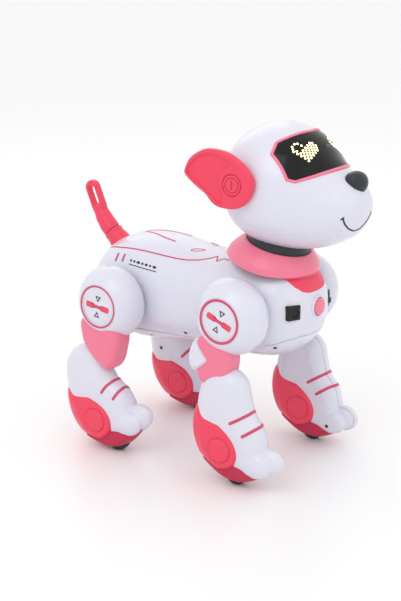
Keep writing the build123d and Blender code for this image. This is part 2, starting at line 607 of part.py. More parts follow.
shoulder, upper_arm, foreleg = leg("front", HIP_X_FRONT, HIP_Z_FRONT, ANKLE_X_FRONT, FOOT_PITCH_FRONT,
                                   UPPER_ARM_OUTLINE, UPPER_WIDTH_FRONT)
leg("rear", HIP_X_REAR, HIP_Z_REAR, ANKLE_X_REAR, FOOT_PITCH_REAR, THIGH_OUTLINE, UPPER_WIDTH_REAR)
elbow = rounded(side_solid(ELBOW_OUTLINE, ELBOW_INNER_Y, ELBOW_WIDTH), ELBOW_EDGE)
both_sides("elbow_guard", elbow - shoulder - upper_arm - foreleg)

# ------------------------------------------------------------------ frame and files
boxes = [shape.bounding_box() for shape in NODES.values()]
low_x = min(box.min.X for box in boxes)
high_x = max(box.max.X for box in boxes)
low_z = min(box.min.Z for box in boxes)
ORIGIN = Vector((low_x + high_x) / 2, 0, low_z)

os.makedirs("parts", exist_ok=True)
for name, shape in NODES.items():
    export_step(Pos(-ORIGIN.X, 0, -ORIGIN.Z) * shape, "parts/" + name + ".step")
print("nodes", len(NODES), "origin", ORIGIN)
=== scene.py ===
import itertools
import json
import math
import bpy
import numpy as np
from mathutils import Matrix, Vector


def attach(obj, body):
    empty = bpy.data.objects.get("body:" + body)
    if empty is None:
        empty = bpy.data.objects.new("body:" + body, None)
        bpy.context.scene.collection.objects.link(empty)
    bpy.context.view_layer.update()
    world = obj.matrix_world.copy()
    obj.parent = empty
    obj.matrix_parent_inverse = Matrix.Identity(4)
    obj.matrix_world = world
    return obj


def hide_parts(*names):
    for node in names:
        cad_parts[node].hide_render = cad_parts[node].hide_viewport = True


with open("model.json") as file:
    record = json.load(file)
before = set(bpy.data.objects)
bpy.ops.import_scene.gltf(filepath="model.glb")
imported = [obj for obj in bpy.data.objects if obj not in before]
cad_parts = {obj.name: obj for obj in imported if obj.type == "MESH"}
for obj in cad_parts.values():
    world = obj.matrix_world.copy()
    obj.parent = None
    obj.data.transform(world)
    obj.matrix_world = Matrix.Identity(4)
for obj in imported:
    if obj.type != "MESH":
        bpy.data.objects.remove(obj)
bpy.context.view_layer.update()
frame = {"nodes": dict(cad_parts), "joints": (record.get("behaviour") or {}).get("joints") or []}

# Robot dog toy, drawn in millimetres on a design grid whose x = 0 lies between the feet, and moved
# into the frame by SHIFT when a mesh is made. Every rounded shell is an implicit surface.
MM = 0.001
JOINTS = {joint["name"]: joint for joint in frame["joints"]}


def joint_mm(name):
    """A joint's position in the frame, in millimetres."""
    return Vector(JOINTS[name]["pos_m"]) / MM


FRONT_HIP_X = 46.0
SHIFT = Vector((joint_mm("front_right_hip").x - FRONT_HIP_X, 0, 0))
FRONT_HIP = joint_mm("front_right_hip") - SHIFT
REAR_HIP = joint_mm("rear_right_hip") - SHIFT
NECK = joint_mm("head_turn") - SHIFT
NECK_AXIS = Vector(JOINTS["head_turn"]["axis"]).normalized()
EAR_HUB = joint_mm("ear_right_turn") - SHIFT
TAIL_FOOT = joint_mm("tail_turn") - SHIFT
TAIL_AXIS = Vector(JOINTS["tail_turn"]["axis"]).normalized()


# ---------- implicit surfaces
def smooth_min(a, b, k):
    """The smaller of two fields, blended over k where they are nearly equal."""
    h = np.maximum(k - np.abs(a - b), 0) / k
    return np.minimum(a, b) - h * h * k / 4


def smooth_max(a, b, k):
    return -smooth_min(-a, -b, k)


def ellipsoid(x, y, z, centre, radii):
    """A field that is near a signed distance from an ellipsoid."""
    u, v, w = (x - centre[0]) / radii[0], (y - centre[1]) / radii[1], (z - centre[2]) / radii[2]
    return (np.sqrt(u ** 2 + v ** 2 + w ** 2) - 1) * min(radii)


def closed_curve(points, steps=8):
    """Smooth closed curve through a few points, as a fine polygon."""
    p = np.array(points, float)
    out = []
    for i in range(len(p)):
        a, b, c, d = p[i - 1], p[i], p[(i + 1) % len(p)], p[(i + 2) % len(p)]
        for t in np.arange(steps) / steps:
            out.append(0.5 * (2 * b + (c - a) * t + (2 * a - 5 * b + 4 * c - d) * t * t
                              + (3 * b - a - 3 * c + d) * t ** 3))
    return np.array(out)


def outline_distance(x, z, polygon):
    """Signed distance in the x-z plane from a closed polygon, negative inside."""
    x, z = np.broadcast_arrays(np.asarray(x, float), np.asarray(z, float))
    best = np.full(x.shape, np.inf)
    inside = np.zeros(x.shape, bool)
    ends = np.roll(polygon, -1, axis=0)
    for (ax, az), (bx, bz) in zip(polygon, ends):
        ex, ez = bx - ax, bz - az
        wx, wz = x - ax, z - az
        t = np.clip((wx * ex + wz * ez) / (ex * ex + ez * ez), 0, 1)
        best = np.minimum(best, (wx - t * ex) ** 2 + (wz - t * ez) ** 2)
        crosses = (az > z) != (bz > z)
        if ez:
            inside ^= crosses & (x < ax + ex * (z - az) / ez)
    return np.where(inside, -1, 1) * np.sqrt(best)


def plate(flat, y, middle, half, edge):
    """An outline's distance given a thickness about y = middle, its edges rounded."""
    a = flat + edge
    b = np.abs(y - middle) - half + edge
    return (np.minimum(np.maximum(a, b), 0) + np.hypot(np.maximum(a, 0), np.maximum(b, 0))) - edge


def domed(flat, y, middle, half, reach):
    """An outline's field given a thickness, its edge rounded over by reach in the outline's plane."""
    inward = np.maximum(flat / reach + 1, 0)
    return (np.hypot(inward, (y - middle) / half) - 1) * np.minimum(half, reach)


EDGES = [(a, b) for a in range(8) for b in range(a + 1, 8) if bin(a ^ b).count("1") == 1]


def gradient(field, p, reach=0.05):
    """A field's value and slope at each point."""
    base = field(*p.T)
    slope = np.empty_like(p)
    for axis in range(3):
        q = p.copy()
        q[:, axis] += reach
        slope[:, axis] = (field(*q.T) - base) / reach
    return base, slope


def settle(field, p, rounds=3, limit=0.6):
    """Moves points onto the surface where the field is zero."""
    for _ in range(rounds):
        value, slope = gradient(field, p)
        step = (value / np.maximum((slope ** 2).sum(1), 1e-6))[:, None] * slope
        length = np.linalg.norm(step, axis=1, keepdims=True)
        p = p - step * np.minimum(1, limit / np.maximum(length, 1e-9))
    return p


def skin(field, low, high, step):
    """Quads over a field's zero surface: one point in each cell that it crosses, then settled."""
    axes = [np.arange(a - step, b + 2 * step, step) for a, b in zip(low, high)]
    size = tuple(len(a) for a in axes)
    value = np.ascontiguousarray(np.broadcast_to(
        field(axes[0][:, None, None], axes[1][None, :, None], axes[2][None, None, :]), size))
    inside = value < 0
    cells = tuple(n - 1 for n in size)
    corner_in = np.zeros(cells, np.int8)
    for i, j, k in itertools.product((0, 1), repeat=3):
        corner_in += inside[i:i + cells[0], j:j + cells[1], k:k + cells[2]]
    mixed = (corner_in > 0) & (corner_in < 8)
    index = np.full(cells, -1, np.int64)
    index[mixed] = np.arange(mixed.sum())
    cell = np.argwhere(mixed)
    corners = np.array(list(itertools.product((0, 1), repeat=3)))
    at = cell[:, None, :] + corners[None]
    v = value[at[..., 0], at[..., 1], at[..., 2]]
    total, hits = np.zeros((len(cell), 3)), np.zeros(len(cell))
    for a, b in EDGES:
        cut = (v[:, a] < 0) != (v[:, b] < 0)
        t = v[cut, a] / (v[cut, a] - v[cut, b])
        total[cut] += corners[a] + t[:, None] * (corners[b] - corners[a])
        hits[cut] += 1
    origin = np.array([a[0] for a in axes])
    points = origin + (cell + total / hits[:, None]) * step
    quads = []
    for axis in range(3):
        others = [a for a in range(3) if a != axis]
        a_side = np.take(inside, range(size[axis] - 1), axis)
        b_side = np.take(inside, range(1, size[axis]), axis)
        edge = np.argwhere(a_side != b_side)
        edge = edge[(edge[:, others] > 0).all(1) & (edge[:, others] < np.array(cells)[others]).all(1)]
        ring = []
        for du, dv in ((0, 0), (1, 0), (1, 1), (0, 1)):
            c = edge.copy()
            c[:, others[0]] -= du
            c[:, others[1]] -= dv
            ring.append(index[c[:, 0], c[:, 1], c[:, 2]])
        quad = np.stack(ring, 1)
        outward = a_side[edge[:, 0], edge[:, 1], edge[:, 2]] ^ (axis == 1)
        quad[~outward] = quad[~outward][:, ::-1]
        quads.append(quad)
    quads = np.concatenate(quads)
    points = settle(field, points, 2, step)
    for _ in range(2):
        points = settle(field, relaxed(points, quads), 1, step)
    return points, quads


def relaxed(points, quads):
    """Each point halfway to the mean of its neighbours."""
    total, count = np.zeros_like(points), np.zeros(len(points))
    for a, b in ((0, 1), (1, 2), (2, 3), (3, 0)):
        for s, e in ((a, b), (b, a)):
            for axis in range(3):
                total[:, axis] += np.bincount(quads[:, s], points[quads[:, e], axis], len(points))
            count += np.bincount(quads[:, s], minlength=len(points))
    return (points + total / np.maximum(count, 1)[:, None]) / 2


# ---------- meshes and pieces
def make_piece(name, points, faces, material, body, slot, replaces=(), mirror_y=False):
    """A named mesh from design coordinates, on its body, with its material. The record slot argument is not
    used.
    """
    points = np.array(points, float)
    if isinstance(faces, np.ndarray):
        faces = faces.tolist()
    if mirror_y:
        points = points * (1, -1, 1)
        faces = [face[::-1] for face in faces]
    points = (points + np.array(SHIFT)) * MM
    mesh = bpy.data.meshes.new(name)
    mesh.from_pydata(points.tolist(), [], faces)
    mesh.update()
    mesh.polygons.foreach_set("use_smooth", [True] * len(mesh.polygons))
    mesh.materials.append(material)
    piece = bpy.data.objects.new(name, mesh)
    bpy.context.scene.collection.objects.link(piece)
    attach(piece, body)
    if replaces:
        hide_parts(*replaces)


def cubic(knots, values, x):
    """Smooth curve through values at unevenly spaced knots."""
    slopes = np.gradient(values, knots)
    i = np.clip(np.searchsorted(knots, x) - 1, 0, len(knots) - 2)
    h = knots[i + 1] - knots[i]
    t = np.clip((x - knots[i]) / h, 0, 1)
    return ((1 + 2 * t) * (1 - t) ** 2 * values[i] + t * (1 - t) ** 2 * h * slopes[i]
            + t * t * (3 - 2 * t) * values[i + 1] + t * t * (t - 1) * h * slopes[i + 1])


def lofted(stations, power, end_round):
    """Field of a body through sections given as x, top, underside and half width."""
    s = np.array(stations, float)
    fine = np.linspace(s[0, 0], s[-1, 0], 500)
    top, low, half = (cubic(s[:, 0], s[:, k], fine) for k in (1, 2, 3))

    def field(x, y, z):
        middle = np.interp(x, fine, (top + low) / 2)
        h = np.interp(x, fine, (top - low) / 2)
        w = np.interp(x, fine, half)
        section = (np.abs(y / w) ** power + np.abs((z - middle) / h) ** power) ** (1 / power)
        ends = np.maximum(s[0, 0] - x, x - s[-1, 0])
        return smooth_max((section - 1) * np.minimum(w, h), ends + 0 * y * z, end_round)
    return field


def drop(field, starts, direction):
    """Slides points along a direction until they meet a field's surface."""
    p = np.array(starts, float)
    d = np.array(direction, float)
    for _ in range(90):
        p = p + 0.45 * field(*p.T)[:, None] * d
    return p


def normals(field, p):
    """Outward unit vectors of a field's surface at points on it."""
    slope = gradient(field, p)[1]
    return slope / np.linalg.norm(slope, axis=1, keepdims=True)


def grid_faces(rows, columns, closed_rows=False, closed_columns=False):
    """Quads of a grid of points numbered row by row."""
    faces = []
    for i in range(rows if closed_rows else rows - 1):
        for j in range(columns if closed_columns else columns - 1):
            a, b = i * columns, ((i + 1) % rows) * columns
            k = (j + 1) % columns
            faces.append((a + j, b + j, b + k, a + k))
    return faces


def evenly(points, spacing, closed=False):
    """The same path with evenly spaced points."""
    p = np.array(points, float)
    if closed:
        p = np.vstack([p, p[:1]])
    run = np.concatenate([[0], np.cumsum(np.linalg.norm(np.diff(p, axis=0), axis=1))])
    count = max(3, int(run[-1] / spacing) + 1)
    at = np.linspace(0, run[-1], count)
    return np.stack([np.interp(at, run, p[:, k]) for k in range(p.shape[1])], 1)[:-1 if closed else None]


# A bead's section, as parts of its half width and of how far it stands proud
BEAD_SECTION = ((-1, -0.25), (-0.94, 0.55), (-0.7, 0.95), (0, 1), (0.7, 0.95), (0.94, 0.55), (1, -0.25))


def ribbon(field, path, width, proud, closed=False, spacing=0.6):
    """A low rounded bead along a path on a surface: its points and faces."""
    p = settle(field, evenly(path, spacing, closed), 5, 3.0)
    n = normals(field, p)
    if closed:
        along = np.roll(p, -1, 0) - np.roll(p, 1, 0)
        reach = np.ones(len(p))
    else:
        along = np.gradient(p, axis=0)
        run = np.concatenate([[0], np.cumsum(np.linalg.norm(np.diff(p, axis=0), axis=1))])
        to_end = np.clip(np.minimum(run, run[-1] - run) / (width / 2), 0, 1)
        reach = np.sqrt(1 - (1 - to_end) ** 2) * 0.98 + 0.02
    side = np.cross(n, along)
    side /= np.linalg.norm(side, axis=1, keepdims=True)
    rows = []
    for across, height in BEAD_SECTION:
        rows.append(p + side * (across * width / 2 * reach)[:, None] + n * height * proud)
    points = np.stack(rows, 1).reshape(-1, 3)
    return points, grid_faces(len(p), len(rows), closed_rows=closed)


def merged(parts):
    """Several point and face sets as one."""
    points, faces = [], []
    for p, f in parts:
        start = sum(len(q) for q in points)
        points.append(np.asarray(p, float))
        faces += [tuple(int(i) + start for i in face) for face in f]
    return np.vstack(points), faces


def patch(field, outline, project, proud, rings=18, rim=0.5):
    """A skin over a surface inside a flat closed outline that project puts on the surface."""
    o = np.array(outline, float)
    c = o.mean(0)
    size = np.linalg.norm(o - c, axis=1).mean()
    scales = [1, 1, 1 - 0.3 * rim / size, 1 - rim / size] + list(np.linspace(1 - 2 * rim / size, 0.02, rings))
    heights = [-0.4, 0.5 * proud, 0.9 * proud] + [proud] * (rings + 1)
    points = []
    for s, h in zip(scales, heights):
        flat = c + (o - c) * s
        p = project(flat)
        points.append(p + normals(field, p) * h)
    points = np.vstack(points)
    faces = grid_faces(len(scales), len(o), closed_columns=True)
    last = (len(scales) - 1) * len(o)
    faces.append(tuple(range(last, last + len(o))))
    return points, faces


def border(field, outer, inner, project, proud, steps=9):
    """A raised rounded frame between two flat outlines of the same number of points, on a surface."""
    outer, inner = np.array(outer, float), np.array(inner, float)
    points = []
    for t in np.linspace(0, 1, steps):
        flat = outer + (inner - outer) * t
        p = project(flat)
        height = proud * (1 - abs(2 * t - 1) ** 4)
        points.append(p + normals(field, p) * (height - (0.4 if t in (0, 1) else 0)))
    return np.vstack(points), grid_faces(steps, len(outer), closed_columns=True)


def frame_at(centre, axis, up=(0, 0, 1)):
    """Matrix columns across, up and out of a place facing along axis."""
    out = Vector(axis).normalized()
    across = Vector(up).cross(out).normalized()
    return np.array([across, out.cross(across), out]).T, np.array(centre, float)


def placed(points, place):
    """Points given across, up and out of a place, in design coordinates."""
    turn, centre = place
    return np.asarray(points, float) @ turn.T + centre


def lathe(profile, place, steps=96):
    """A profile of radius and height turned about a place's outward axis."""
    points = []
    for radius, height in profile:
        for i in range(steps):
            a = 2 * math.pi * i / steps
            points.append((radius * math.cos(a), radius * math.sin(a), height))
    faces = [f[::-1] for f in grid_faces(len(profile), steps, closed_columns=True)]
    return placed(points, place), faces


def fillets(corners, radius, steps=4):
    """An open profile with its inner corners rounded."""
    p = [Vector(c) for c in corners]
    out = [p[0]]
    for before, corner, after in zip(p, p[1:], p[2:]):
        a, b = before - corner, after - corner
        reach = min(radius, a.length * 0.45, b.length * 0.45)
        start, end = corner + a.normalized() * reach, corner + b.normalized() * reach
        for i in range(steps + 1):
            t = i / steps
            out.append(start * (1 - t) ** 2 + corner * 2 * t * (1 - t) + end * t * t)
    out.append(p[-1])
    return [tuple(v) for v in out]


def badge(outer, inner, place, thick):
    """A flat frame between two outlines, or a flat disc where inner is None, standing off a place."""
    o = np.array(outer, float)
    c = o.mean(0)
    loops = [(o, -0.3), (o, thick * 0.6), (c + (o - c) * 0.985, thick)]
    if inner is None:
        loops.append((c + (o - c) * 0.5, thick))
    else:
        i = np.array(inner, float)
        loops += [(i, thick), (i, -0.3)]
    points = np.vstack([np.column_stack([flat, np.full(len(flat), h)]) for flat, h in loops])
    faces = [f[::-1] for f in grid_faces(len(loops), len(o), closed_columns=True)]
    if inner is None:
        last = (len(loops) - 1) * len(o)
        faces.append(tuple(range(last, last + len(o))))
    return placed(points, place), faces


# ---------- materials
GRAIN_SCALE = 900.0         # noise cells to the metre, in the bump
GLOSS_SCALE = 38.0          # the same, in the roughness


def look(name, colour, rough=0.3, coat=0.4, grain=0.06, painted_light=0.12, metal=0.0, glow=0.0, shine=0.5):
    """Moulded material: fine grain in the bump, uneven gloss, a painted highlight on sharp edges and painted
    shade in hollows.
    """
    material = bpy.data.materials.new(name)
    material.use_nodes = True
    tree = material.node_tree
    shader = tree.nodes["Principled BSDF"]
    shader.inputs["Metallic"].default_value = metal
    shader.inputs["Specular IOR Level"].default_value = shine
    shader.inputs["Coat Weight"].default_value = coat
    shader.inputs["Coat Roughness"].default_value = 0.12
    place = tree.nodes.new("ShaderNodeTexCoord")

    def noise(scale, detail):
        node = tree.nodes.new("ShaderNodeTexNoise")
        node.inputs["Scale"].default_value = scale
        node.inputs["Detail"].default_value = detail
        tree.links.new(place.outputs["Object"], node.inputs["Vector"])
        return node.outputs["Fac"]

    def spread(value, low, high, to_low, to_high):
        node = tree.nodes.new("ShaderNodeMapRange")
        for socket, number in zip(("From Min", "From Max", "To Min", "To Max"), (low, high, to_low, to_high)):
            node.inputs[socket].default_value = number
        tree.links.new(value, node.inputs["Value"])
        return node.outputs["Result"]

    gloss = spread(noise(GLOSS_SCALE, 4.0), 0.3, 0.7, rough * 0.82, rough * 1.22)
    tree.links.new(gloss, shader.inputs["Roughness"])
    bump = tree.nodes.new("ShaderNodeBump")
    bump.inputs["Strength"].default_value = grain
    bump.inputs["Distance"].default_value = 0.0002
    tree.links.new(noise(GRAIN_SCALE, 3.0), bump.inputs["Height"])
    tree.links.new(bump.outputs["Normal"], shader.inputs["Normal"])
    # Painted light from curvature: sharp edges are mixed towards white as a painted highlight, and hollows
    # towards a darker copy of the colour as painted shade.
    shape = tree.nodes.new("ShaderNodeNewGeometry")
    edge = spread(shape.outputs["Pointiness"], 0.53, 0.62, 0.0, painted_light)
    hollow = spread(shape.outputs["Pointiness"], 0.40, 0.47, painted_light * 1.6, 0.0)
    painted_highlight = tree.nodes.new("ShaderNodeMix")
    painted_shade = tree.nodes.new("ShaderNodeMix")
    for mix, factor, tint in ((painted_highlight, edge, [c + (1 - c) * 0.6 for c in colour]),
                              (painted_shade, hollow, [c * 0.45 for c in colour])):
        mix.data_type = "RGBA"
        tree.links.new(factor, mix.inputs["Factor"])
        mix.inputs["B"].default_value = (*tint, 1)
    painted_highlight.inputs["A"].default_value = (*colour, 1)
    colour_inputs = [s for s in painted_shade.inputs if s.name == "A" and s.type == "RGBA"]
    colour_out = [s for s in painted_highlight.outputs if s.type == "RGBA"][0]
    tree.links.new(colour_out, colour_inputs[0])
    tree.links.new([s for s in painted_shade.outputs if s.type == "RGBA"][0], shader.inputs["Base Color"])
    if glow:
        shader.inputs["Emission Color"].default_value = (*colour, 1)
        shader.inputs["Emission Strength"].default_value = glow
    return material


WHITE = look("white_shell", (0.71, 0.71, 0.81), 0.28, 0.5, painted_light=0.05)
SHADE = look("seam_shade", (0.30, 0.30, 0.36), 0.4, 0.2)
PINK = look("light_pink", (0.86, 0.19, 0.30), 0.34, 0.2)
CORAL = look("coral", (0.85, 0.055, 0.115), 0.36, 0.12, grain=0.12, shine=0.35)
DEEP = look("dark_coral", (0.52, 0.022, 0.07), 0.40, 0.1, shine=0.35)
ROSE = look("rose_bar", (0.50, 0.13, 0.22), 0.42, 0.1)
LINE = look("line_red", (0.62, 0.06, 0.14), 0.42, 0.1, painted_light=0.05)
GREY = look("dark_grey", (0.022, 0.025, 0.031), 0.36, 0.1, shine=0.35)
LENS = look("black_lens", (0.002, 0.002, 0.0025), 0.16, 0.05, grain=0.02, shine=0.3)
# Black ink for the print, also used for the screw holes' dark discs of painted shade.
INK_AND_HOLE_SHADE = look("ink_and_hole_shade", (0.012, 0.012, 0.016), 0.35, 0.1, painted_light=0.03)
BLACK = look("black_plastic", (0.010, 0.010, 0.012), 0.38, 0.05, shine=0.3)
RUBBER = look("roller_rubber", (0.02, 0.02, 0.022), 0.72, 0.0, grain=0.3)
STEEL = look("screw_steel", (0.42, 0.42, 0.44), 0.30, 0.0, metal=1.0)
LAMP = look("lamp", (1.0, 0.84, 0.42), 0.3, 0.0, painted_light=0.0, glow=2.2)
BOARD = look("board_green", (0.02, 0.16, 0.07), 0.45, 0.2, grain=0.2)
GEAR = look("gearbox_grey", (0.22, 0.23, 0.25), 0.5, 0.1, grain=0.2)


def simple(name, shape, material, body, slot, **options):
    """A piece from a pair of points and faces."""
    make_piece(name, shape[0], shape[1], material, body, slot, **options)


def stand_in(name, shape, material, body, slot):
    """A piece that takes the place of the frame's node of the same name."""
    make_piece(name, shape[0], shape[1], material, body, slot, replaces=(name,))


def both(name, shape, material, bodies, slot, stands_in=True):
    """A right-hand piece and its mirror image, each usually in place of the node of its name."""
    for side, body in zip(("right", "left"), bodies):
        nodes = (f"{name}_{side}",) if stands_in else ()
        make_piece(f"{name}_{side}", shape[0], shape[1], material, body, slot, replaces=nodes,
                   mirror_y=side == "left")


# ---------- trunk
BODY = lofted([(-105.3, 121, 104, 10), (-101, 130, 95, 19), (-91, 143, 85, 27.5), (-77, 152, 80, 33.5),
               (-60, 156.5, 77, 36), (-38, 156.5, 78.5, 36), (-15, 153, 81, 34.5), (5, 151, 82.5, 34),
               (25, 151.5, 82, 35.5), (45, 152.5, 82, 37), (60, 152, 84.5, 36), (72, 148.5, 90, 30.8),
               (79, 143.5, 96.5, 24.8), (83.7, 136.5, 103.5, 17.5), (85.9, 130, 109, 11.5)], 2.4, 5.0)
BELLY_Z = 89.0
SEAM = 0.15                 # half the gap between two shells
DOOR = (-37, 21, 17)        # the battery door's rear and front x, and half its width
FORWARD, BACKWARD = (1, 0, 0), (-1, 0, 0)


def trunk():
    """Body shell, belly cover and battery door."""
    def upper(x, y, z):
        return smooth_max(BODY(x, y, z), BELLY_Z + SEAM - z, 0.5)

    def under(x, y, z):
        return smooth_max(BODY(x, y, z), z - BELLY_Z + SEAM, 0.5)

    def door_zone(x, y, grow):
        return np.maximum(np.maximum(DOOR[0] - x, x - DOOR[1]), np.abs(y) - DOOR[2]) - grow

    def lower(x, y, z):
        return smooth_max(under(x, y, z), -door_zone(x, y, SEAM), 0.5)

    def door(x, y, z):
        return smooth_max(under(x, y, z), door_zone(x, y, -SEAM), 0.5)

    simple("body_shell", skin(upper, (-107, -40, 74), (90, 40, 160), 0.95), WHITE, "trunk", "white_shell",
           replaces=("body_shell", "back_cover"))
    stand_in("belly_cover", skin(lower, (-100, -38, 74), (85, 38, 90), 0.9), WHITE, "trunk", "white_shell")
    stand_in("battery_door", skin(door, (-39, -19, 74), (23, 19, 90), 0.8), WHITE, "trunk", "white_shell")


NECK_PLACE = frame_at(NECK, NECK_AXIS, up=(0, 1, 0))
# Profiles about the neck axis, as radius and height above the neck's foot
COLLAR = fillets([(34.4, -13.5), (33.2, -9.2), (29.5, -4.2), (24.2, 0.6), (22.6, 0.6), (22.2, -1.5)], 3.2)
BOOT = fillets([(22.6, -1.2), (22.7, 1.2), (22.3, 3.4), (22.4, 6.5), (20, 8.0)], 1.2)
COLLAR_TOP_R = 24.2
FRONT_CUT = 0.26            # how much shorter the collar's skirt is in front


def neck():
    """Collar, with its skirt cut back towards the front, and the boot that the head turns on."""
    turn, centre = NECK_PLACE
    points, faces = lathe(COLLAR, NECK_PLACE, 128)
    local = (points - centre) @ turn
    radius = np.hypot(local[:, 0], local[:, 1])
    forward = np.clip((points - centre) @ np.array([NECK_AXIS.z, 0, -NECK_AXIS.x]) / radius, 0, 1)
    keep = 1 - FRONT_CUT * forward ** 2 * (local[:, 2] < 0)
    wider = (COLLAR_TOP_R + (radius - COLLAR_TOP_R) * keep) / radius
    local[:, :2] *= np.where(radius > COLLAR_TOP_R, wider, 1)[:, None]
    local[:, 2] *= keep
    stand_in("collar_ring", (placed(local, NECK_PLACE), faces), PINK, "trunk", "light_pink")
    stand_in("neck_boot", lathe(BOOT, NECK_PLACE, 128), GREY, "trunk", "dark_grey")


BUTTON_Z = 122.8
FITTING_AT = (23.3, 122.5)  # the jack's and the switch plate's distance from the middle, and height
JACK_TILT = math.radians(24.0)
AHEAD, BIB_AHEAD = 110.0, 112.0     # x from where places are slid back onto the chest
THROAT_X = 70.5             # the throat piece is what lies ahead of this


def rounded_box(x, y, z, size, edge):
    """A box's field with its edges rounded, centred on the origin."""
    q = [np.abs(v) - s / 2 + edge for v, s in zip((x, y, z), size)]
    outside = np.sqrt(sum(np.maximum(v, 0) ** 2 for v in q))
    return outside + np.minimum(np.maximum(np.maximum(q[0], q[1]), q[2]), 0) - edge


def chest():
    """Button, bib, throat piece, charging jack and switch plate."""
    front = drop(BODY, [(AHEAD, 0, BUTTON_Z)], BACKWARD)[0]
    place = frame_at(front, FORWARD)
    bezel = fillets([(8.2, -2.5), (7.9, 0.9), (7.0, 1.3), (6.5, 0.8), (6.45, -2)], 0.5)
    cap = fillets([(6.2, -2), (6.15, 1.9), (5.2, 2.75), (2.5, 3.0), (0.02, 3.0)], 0.9)
    stand_in("button_bezel", lathe(bezel, place, 72), WHITE, "trunk", "white_shell")
    stand_in("chest_button", lathe(cap, place, 72), PINK, "chest_button", "light_pink")
    half = [(0, 150.5), (20.5, 148.6), (20.3, 145), (18.8, 139.5), (14.5, 135.6), (9, 134.2), (0, 133.8)]
    outline = evenly(half + [(-y, z) for y, z in half[-2:0:-1]], 1.2, closed=True)

    def from_front(flat):
        return drop(BODY, np.column_stack([np.full(len(flat), BIB_AHEAD), flat]), BACKWARD)

    stand_in("chest_bib", patch(BODY, outline, from_front, 0.45), CORAL, "trunk", "coral")
    throat = fillets([(26, -17.5), (31.0, -14.0), (31.2, -9.0), (26, -7.0)], 1.2)
    points, faces = lathe(throat, NECK_PLACE, 128)
    front_faces = [f for f in faces if all(points[i][0] > THROAT_X for i in f)]
    simple("bib_throat", (points, front_faces), CORAL, "trunk", "coral")
    for side, name in ((-1, "charging_jack"), (1, "switch_plate")):
        spot = drop(BODY, [(AHEAD, side * FITTING_AT[0], FITTING_AT[1])], BACKWARD)[0]
        out = (math.cos(JACK_TILT), side * math.sin(JACK_TILT), 0)
        face = frame_at(spot, out)

        def socket(x, y, z):
            block = rounded_box(x, y, z + 0.6, (10.5, 10.5, 4.4), 0.7)
            hole = np.hypot(x, y) - 3.3
            rim = np.maximum(np.abs(np.hypot(x, y) - 3.9) - 0.45, np.abs(z - 1.6) - 0.3)
            pin = np.maximum(np.hypot(x, y) - 0.9, z - 1.4)
            return np.minimum(smooth_max(block, -np.maximum(hole, 0.95 - z), 0.3), smooth_min(rim, pin, 0.1))

        def switch(x, y, z):
            block = rounded_box(x, y, z + 1.0, (8.0, 10.5, 4.2), 0.8)
            return smooth_max(block, -rounded_box(x, y, z, (3.4, 7.0, 3.2), 0.3), 0.4)

        points, quads = skin(socket if side < 0 else switch, (-6.5, -6.5, -4), (6.5, 6.5, 2.5), 0.22)
        stand_in(name, (placed(points, face), quads), BLACK, "trunk", "black_plastic")


# ---------- head
HEAD = lofted([(14.2, 215, 197, 9), (18, 225.5, 186.5, 19.5), (27, 238, 174, 32), (41, 246.5, 165.5, 40.4),
               (57, 249.6, 162.6, 43.5), (72, 246.5, 162.8, 41), (84, 239.5, 164.5, 35.5),
               (95, 228, 167.5, 29.5), (106, 218.5, 172.5, 24.5), (115, 212.5, 179, 18.5),
               (119.5, 206, 186, 11.5), (121.0, 201, 191, 6.5)], 2.0, 4.0)
# Outside edge of the visor's frame on the right half of the head, from the top middle
VISOR = [(76.5, 0, 246), (75.6, -5, 245.7), (72.1, -16.2, 244.3), (65.4, -27.6, 239.7), (66.1, -34.4, 232.2),
         (79.7, -35.7, 215.8), (85.2, -32.7, 214.4), (94.3, -24.2, 217.6), (101.9, -10.9, 220.5),
         (103, 0, 221)]
VISOR_START = 135           # x ahead of the head
VISOR_BAND = 2.9            # width of the frame
EYE_AT = (18.4, 233.4)      # an eye's distance from the middle, and height
HEART = (".##...##.",
         "#..#.####",
         "#...#####",
         "##.######",
         ".#######.",
         "..#####..",
         "...###...",
         "....#....")
DOT_PITCH = (2.2, 1.95)
HEAD_MIDDLE = np.array((60.0, 0.0, 206.0))
GAZE = math.radians(34.0)   # how far above level the visor faces, seen from the head's middle
GAZE_AXES = np.array([(math.cos(GAZE), 0, math.sin(GAZE)), (0, 1, 0), (-math.sin(GAZE), 0, math.cos(GAZE))])
CHART_SCALE = 50.0          # millimetres on the map to the radian


def flattened(points):
    """Points on the head as a flat map, about millimetre for millimetre near the visor."""
    v = (np.array(points, float) - HEAD_MIDDLE) @ GAZE_AXES.T
    v /= np.linalg.norm(v, axis=1, keepdims=True)
    side = np.hypot(v[:, 1], v[:, 2])
    return CHART_SCALE * (np.arccos(v[:, 0]) / np.maximum(side, 1e-9))[:, None] * v[:, 1:]


def on_head(flat):
    """Where places on the flat map lie on the head."""
    reach = np.linalg.norm(flat, axis=1, keepdims=True)
    angle = reach / CHART_SCALE
    out = np.hstack([np.cos(angle), np.sin(angle) * flat / np.maximum(reach, 1e-9)]) @ GAZE_AXES
    return drop(HEAD, HEAD_MIDDLE + out * 80.0, -out)


def inset_polygon(points, distance):
    """A closed polygon whose every side is moved in by a distance."""
    p = np.array(points, float)
    along = np.roll(p, -1, 0) - p
    along /= np.linalg.norm(along, axis=1, keepdims=True)
    turn = np.sign(np.sum(p[:, 0] * np.roll(p[:, 1], -1) - np.roll(p[:, 0], -1) * p[:, 1]))
    inward = turn * np.column_stack([-along[:, 1], along[:, 0]])
    out = []
    for i in range(len(p)):
        before, after = inward[i - 1], inward[i]
        corner = (before + after) / max(1 + before @ after, 0.2)
        out.append(p[i] + corner * distance)
    return np.array(out)


def sides(points, counts):
    """Points along a polygon's sides, a set number on each, its corners slightly eased."""
    p = np.array(points, float)
    out = []
    for a, b, count in zip(p, np.roll(p, -1, 0), counts):
        out += [a + (b - a) * t / count for t in range(count)]
    out = np.array(out)
    return (np.roll(out, 1, 0) + 2 * out + np.roll(out, -1, 0)) / 4


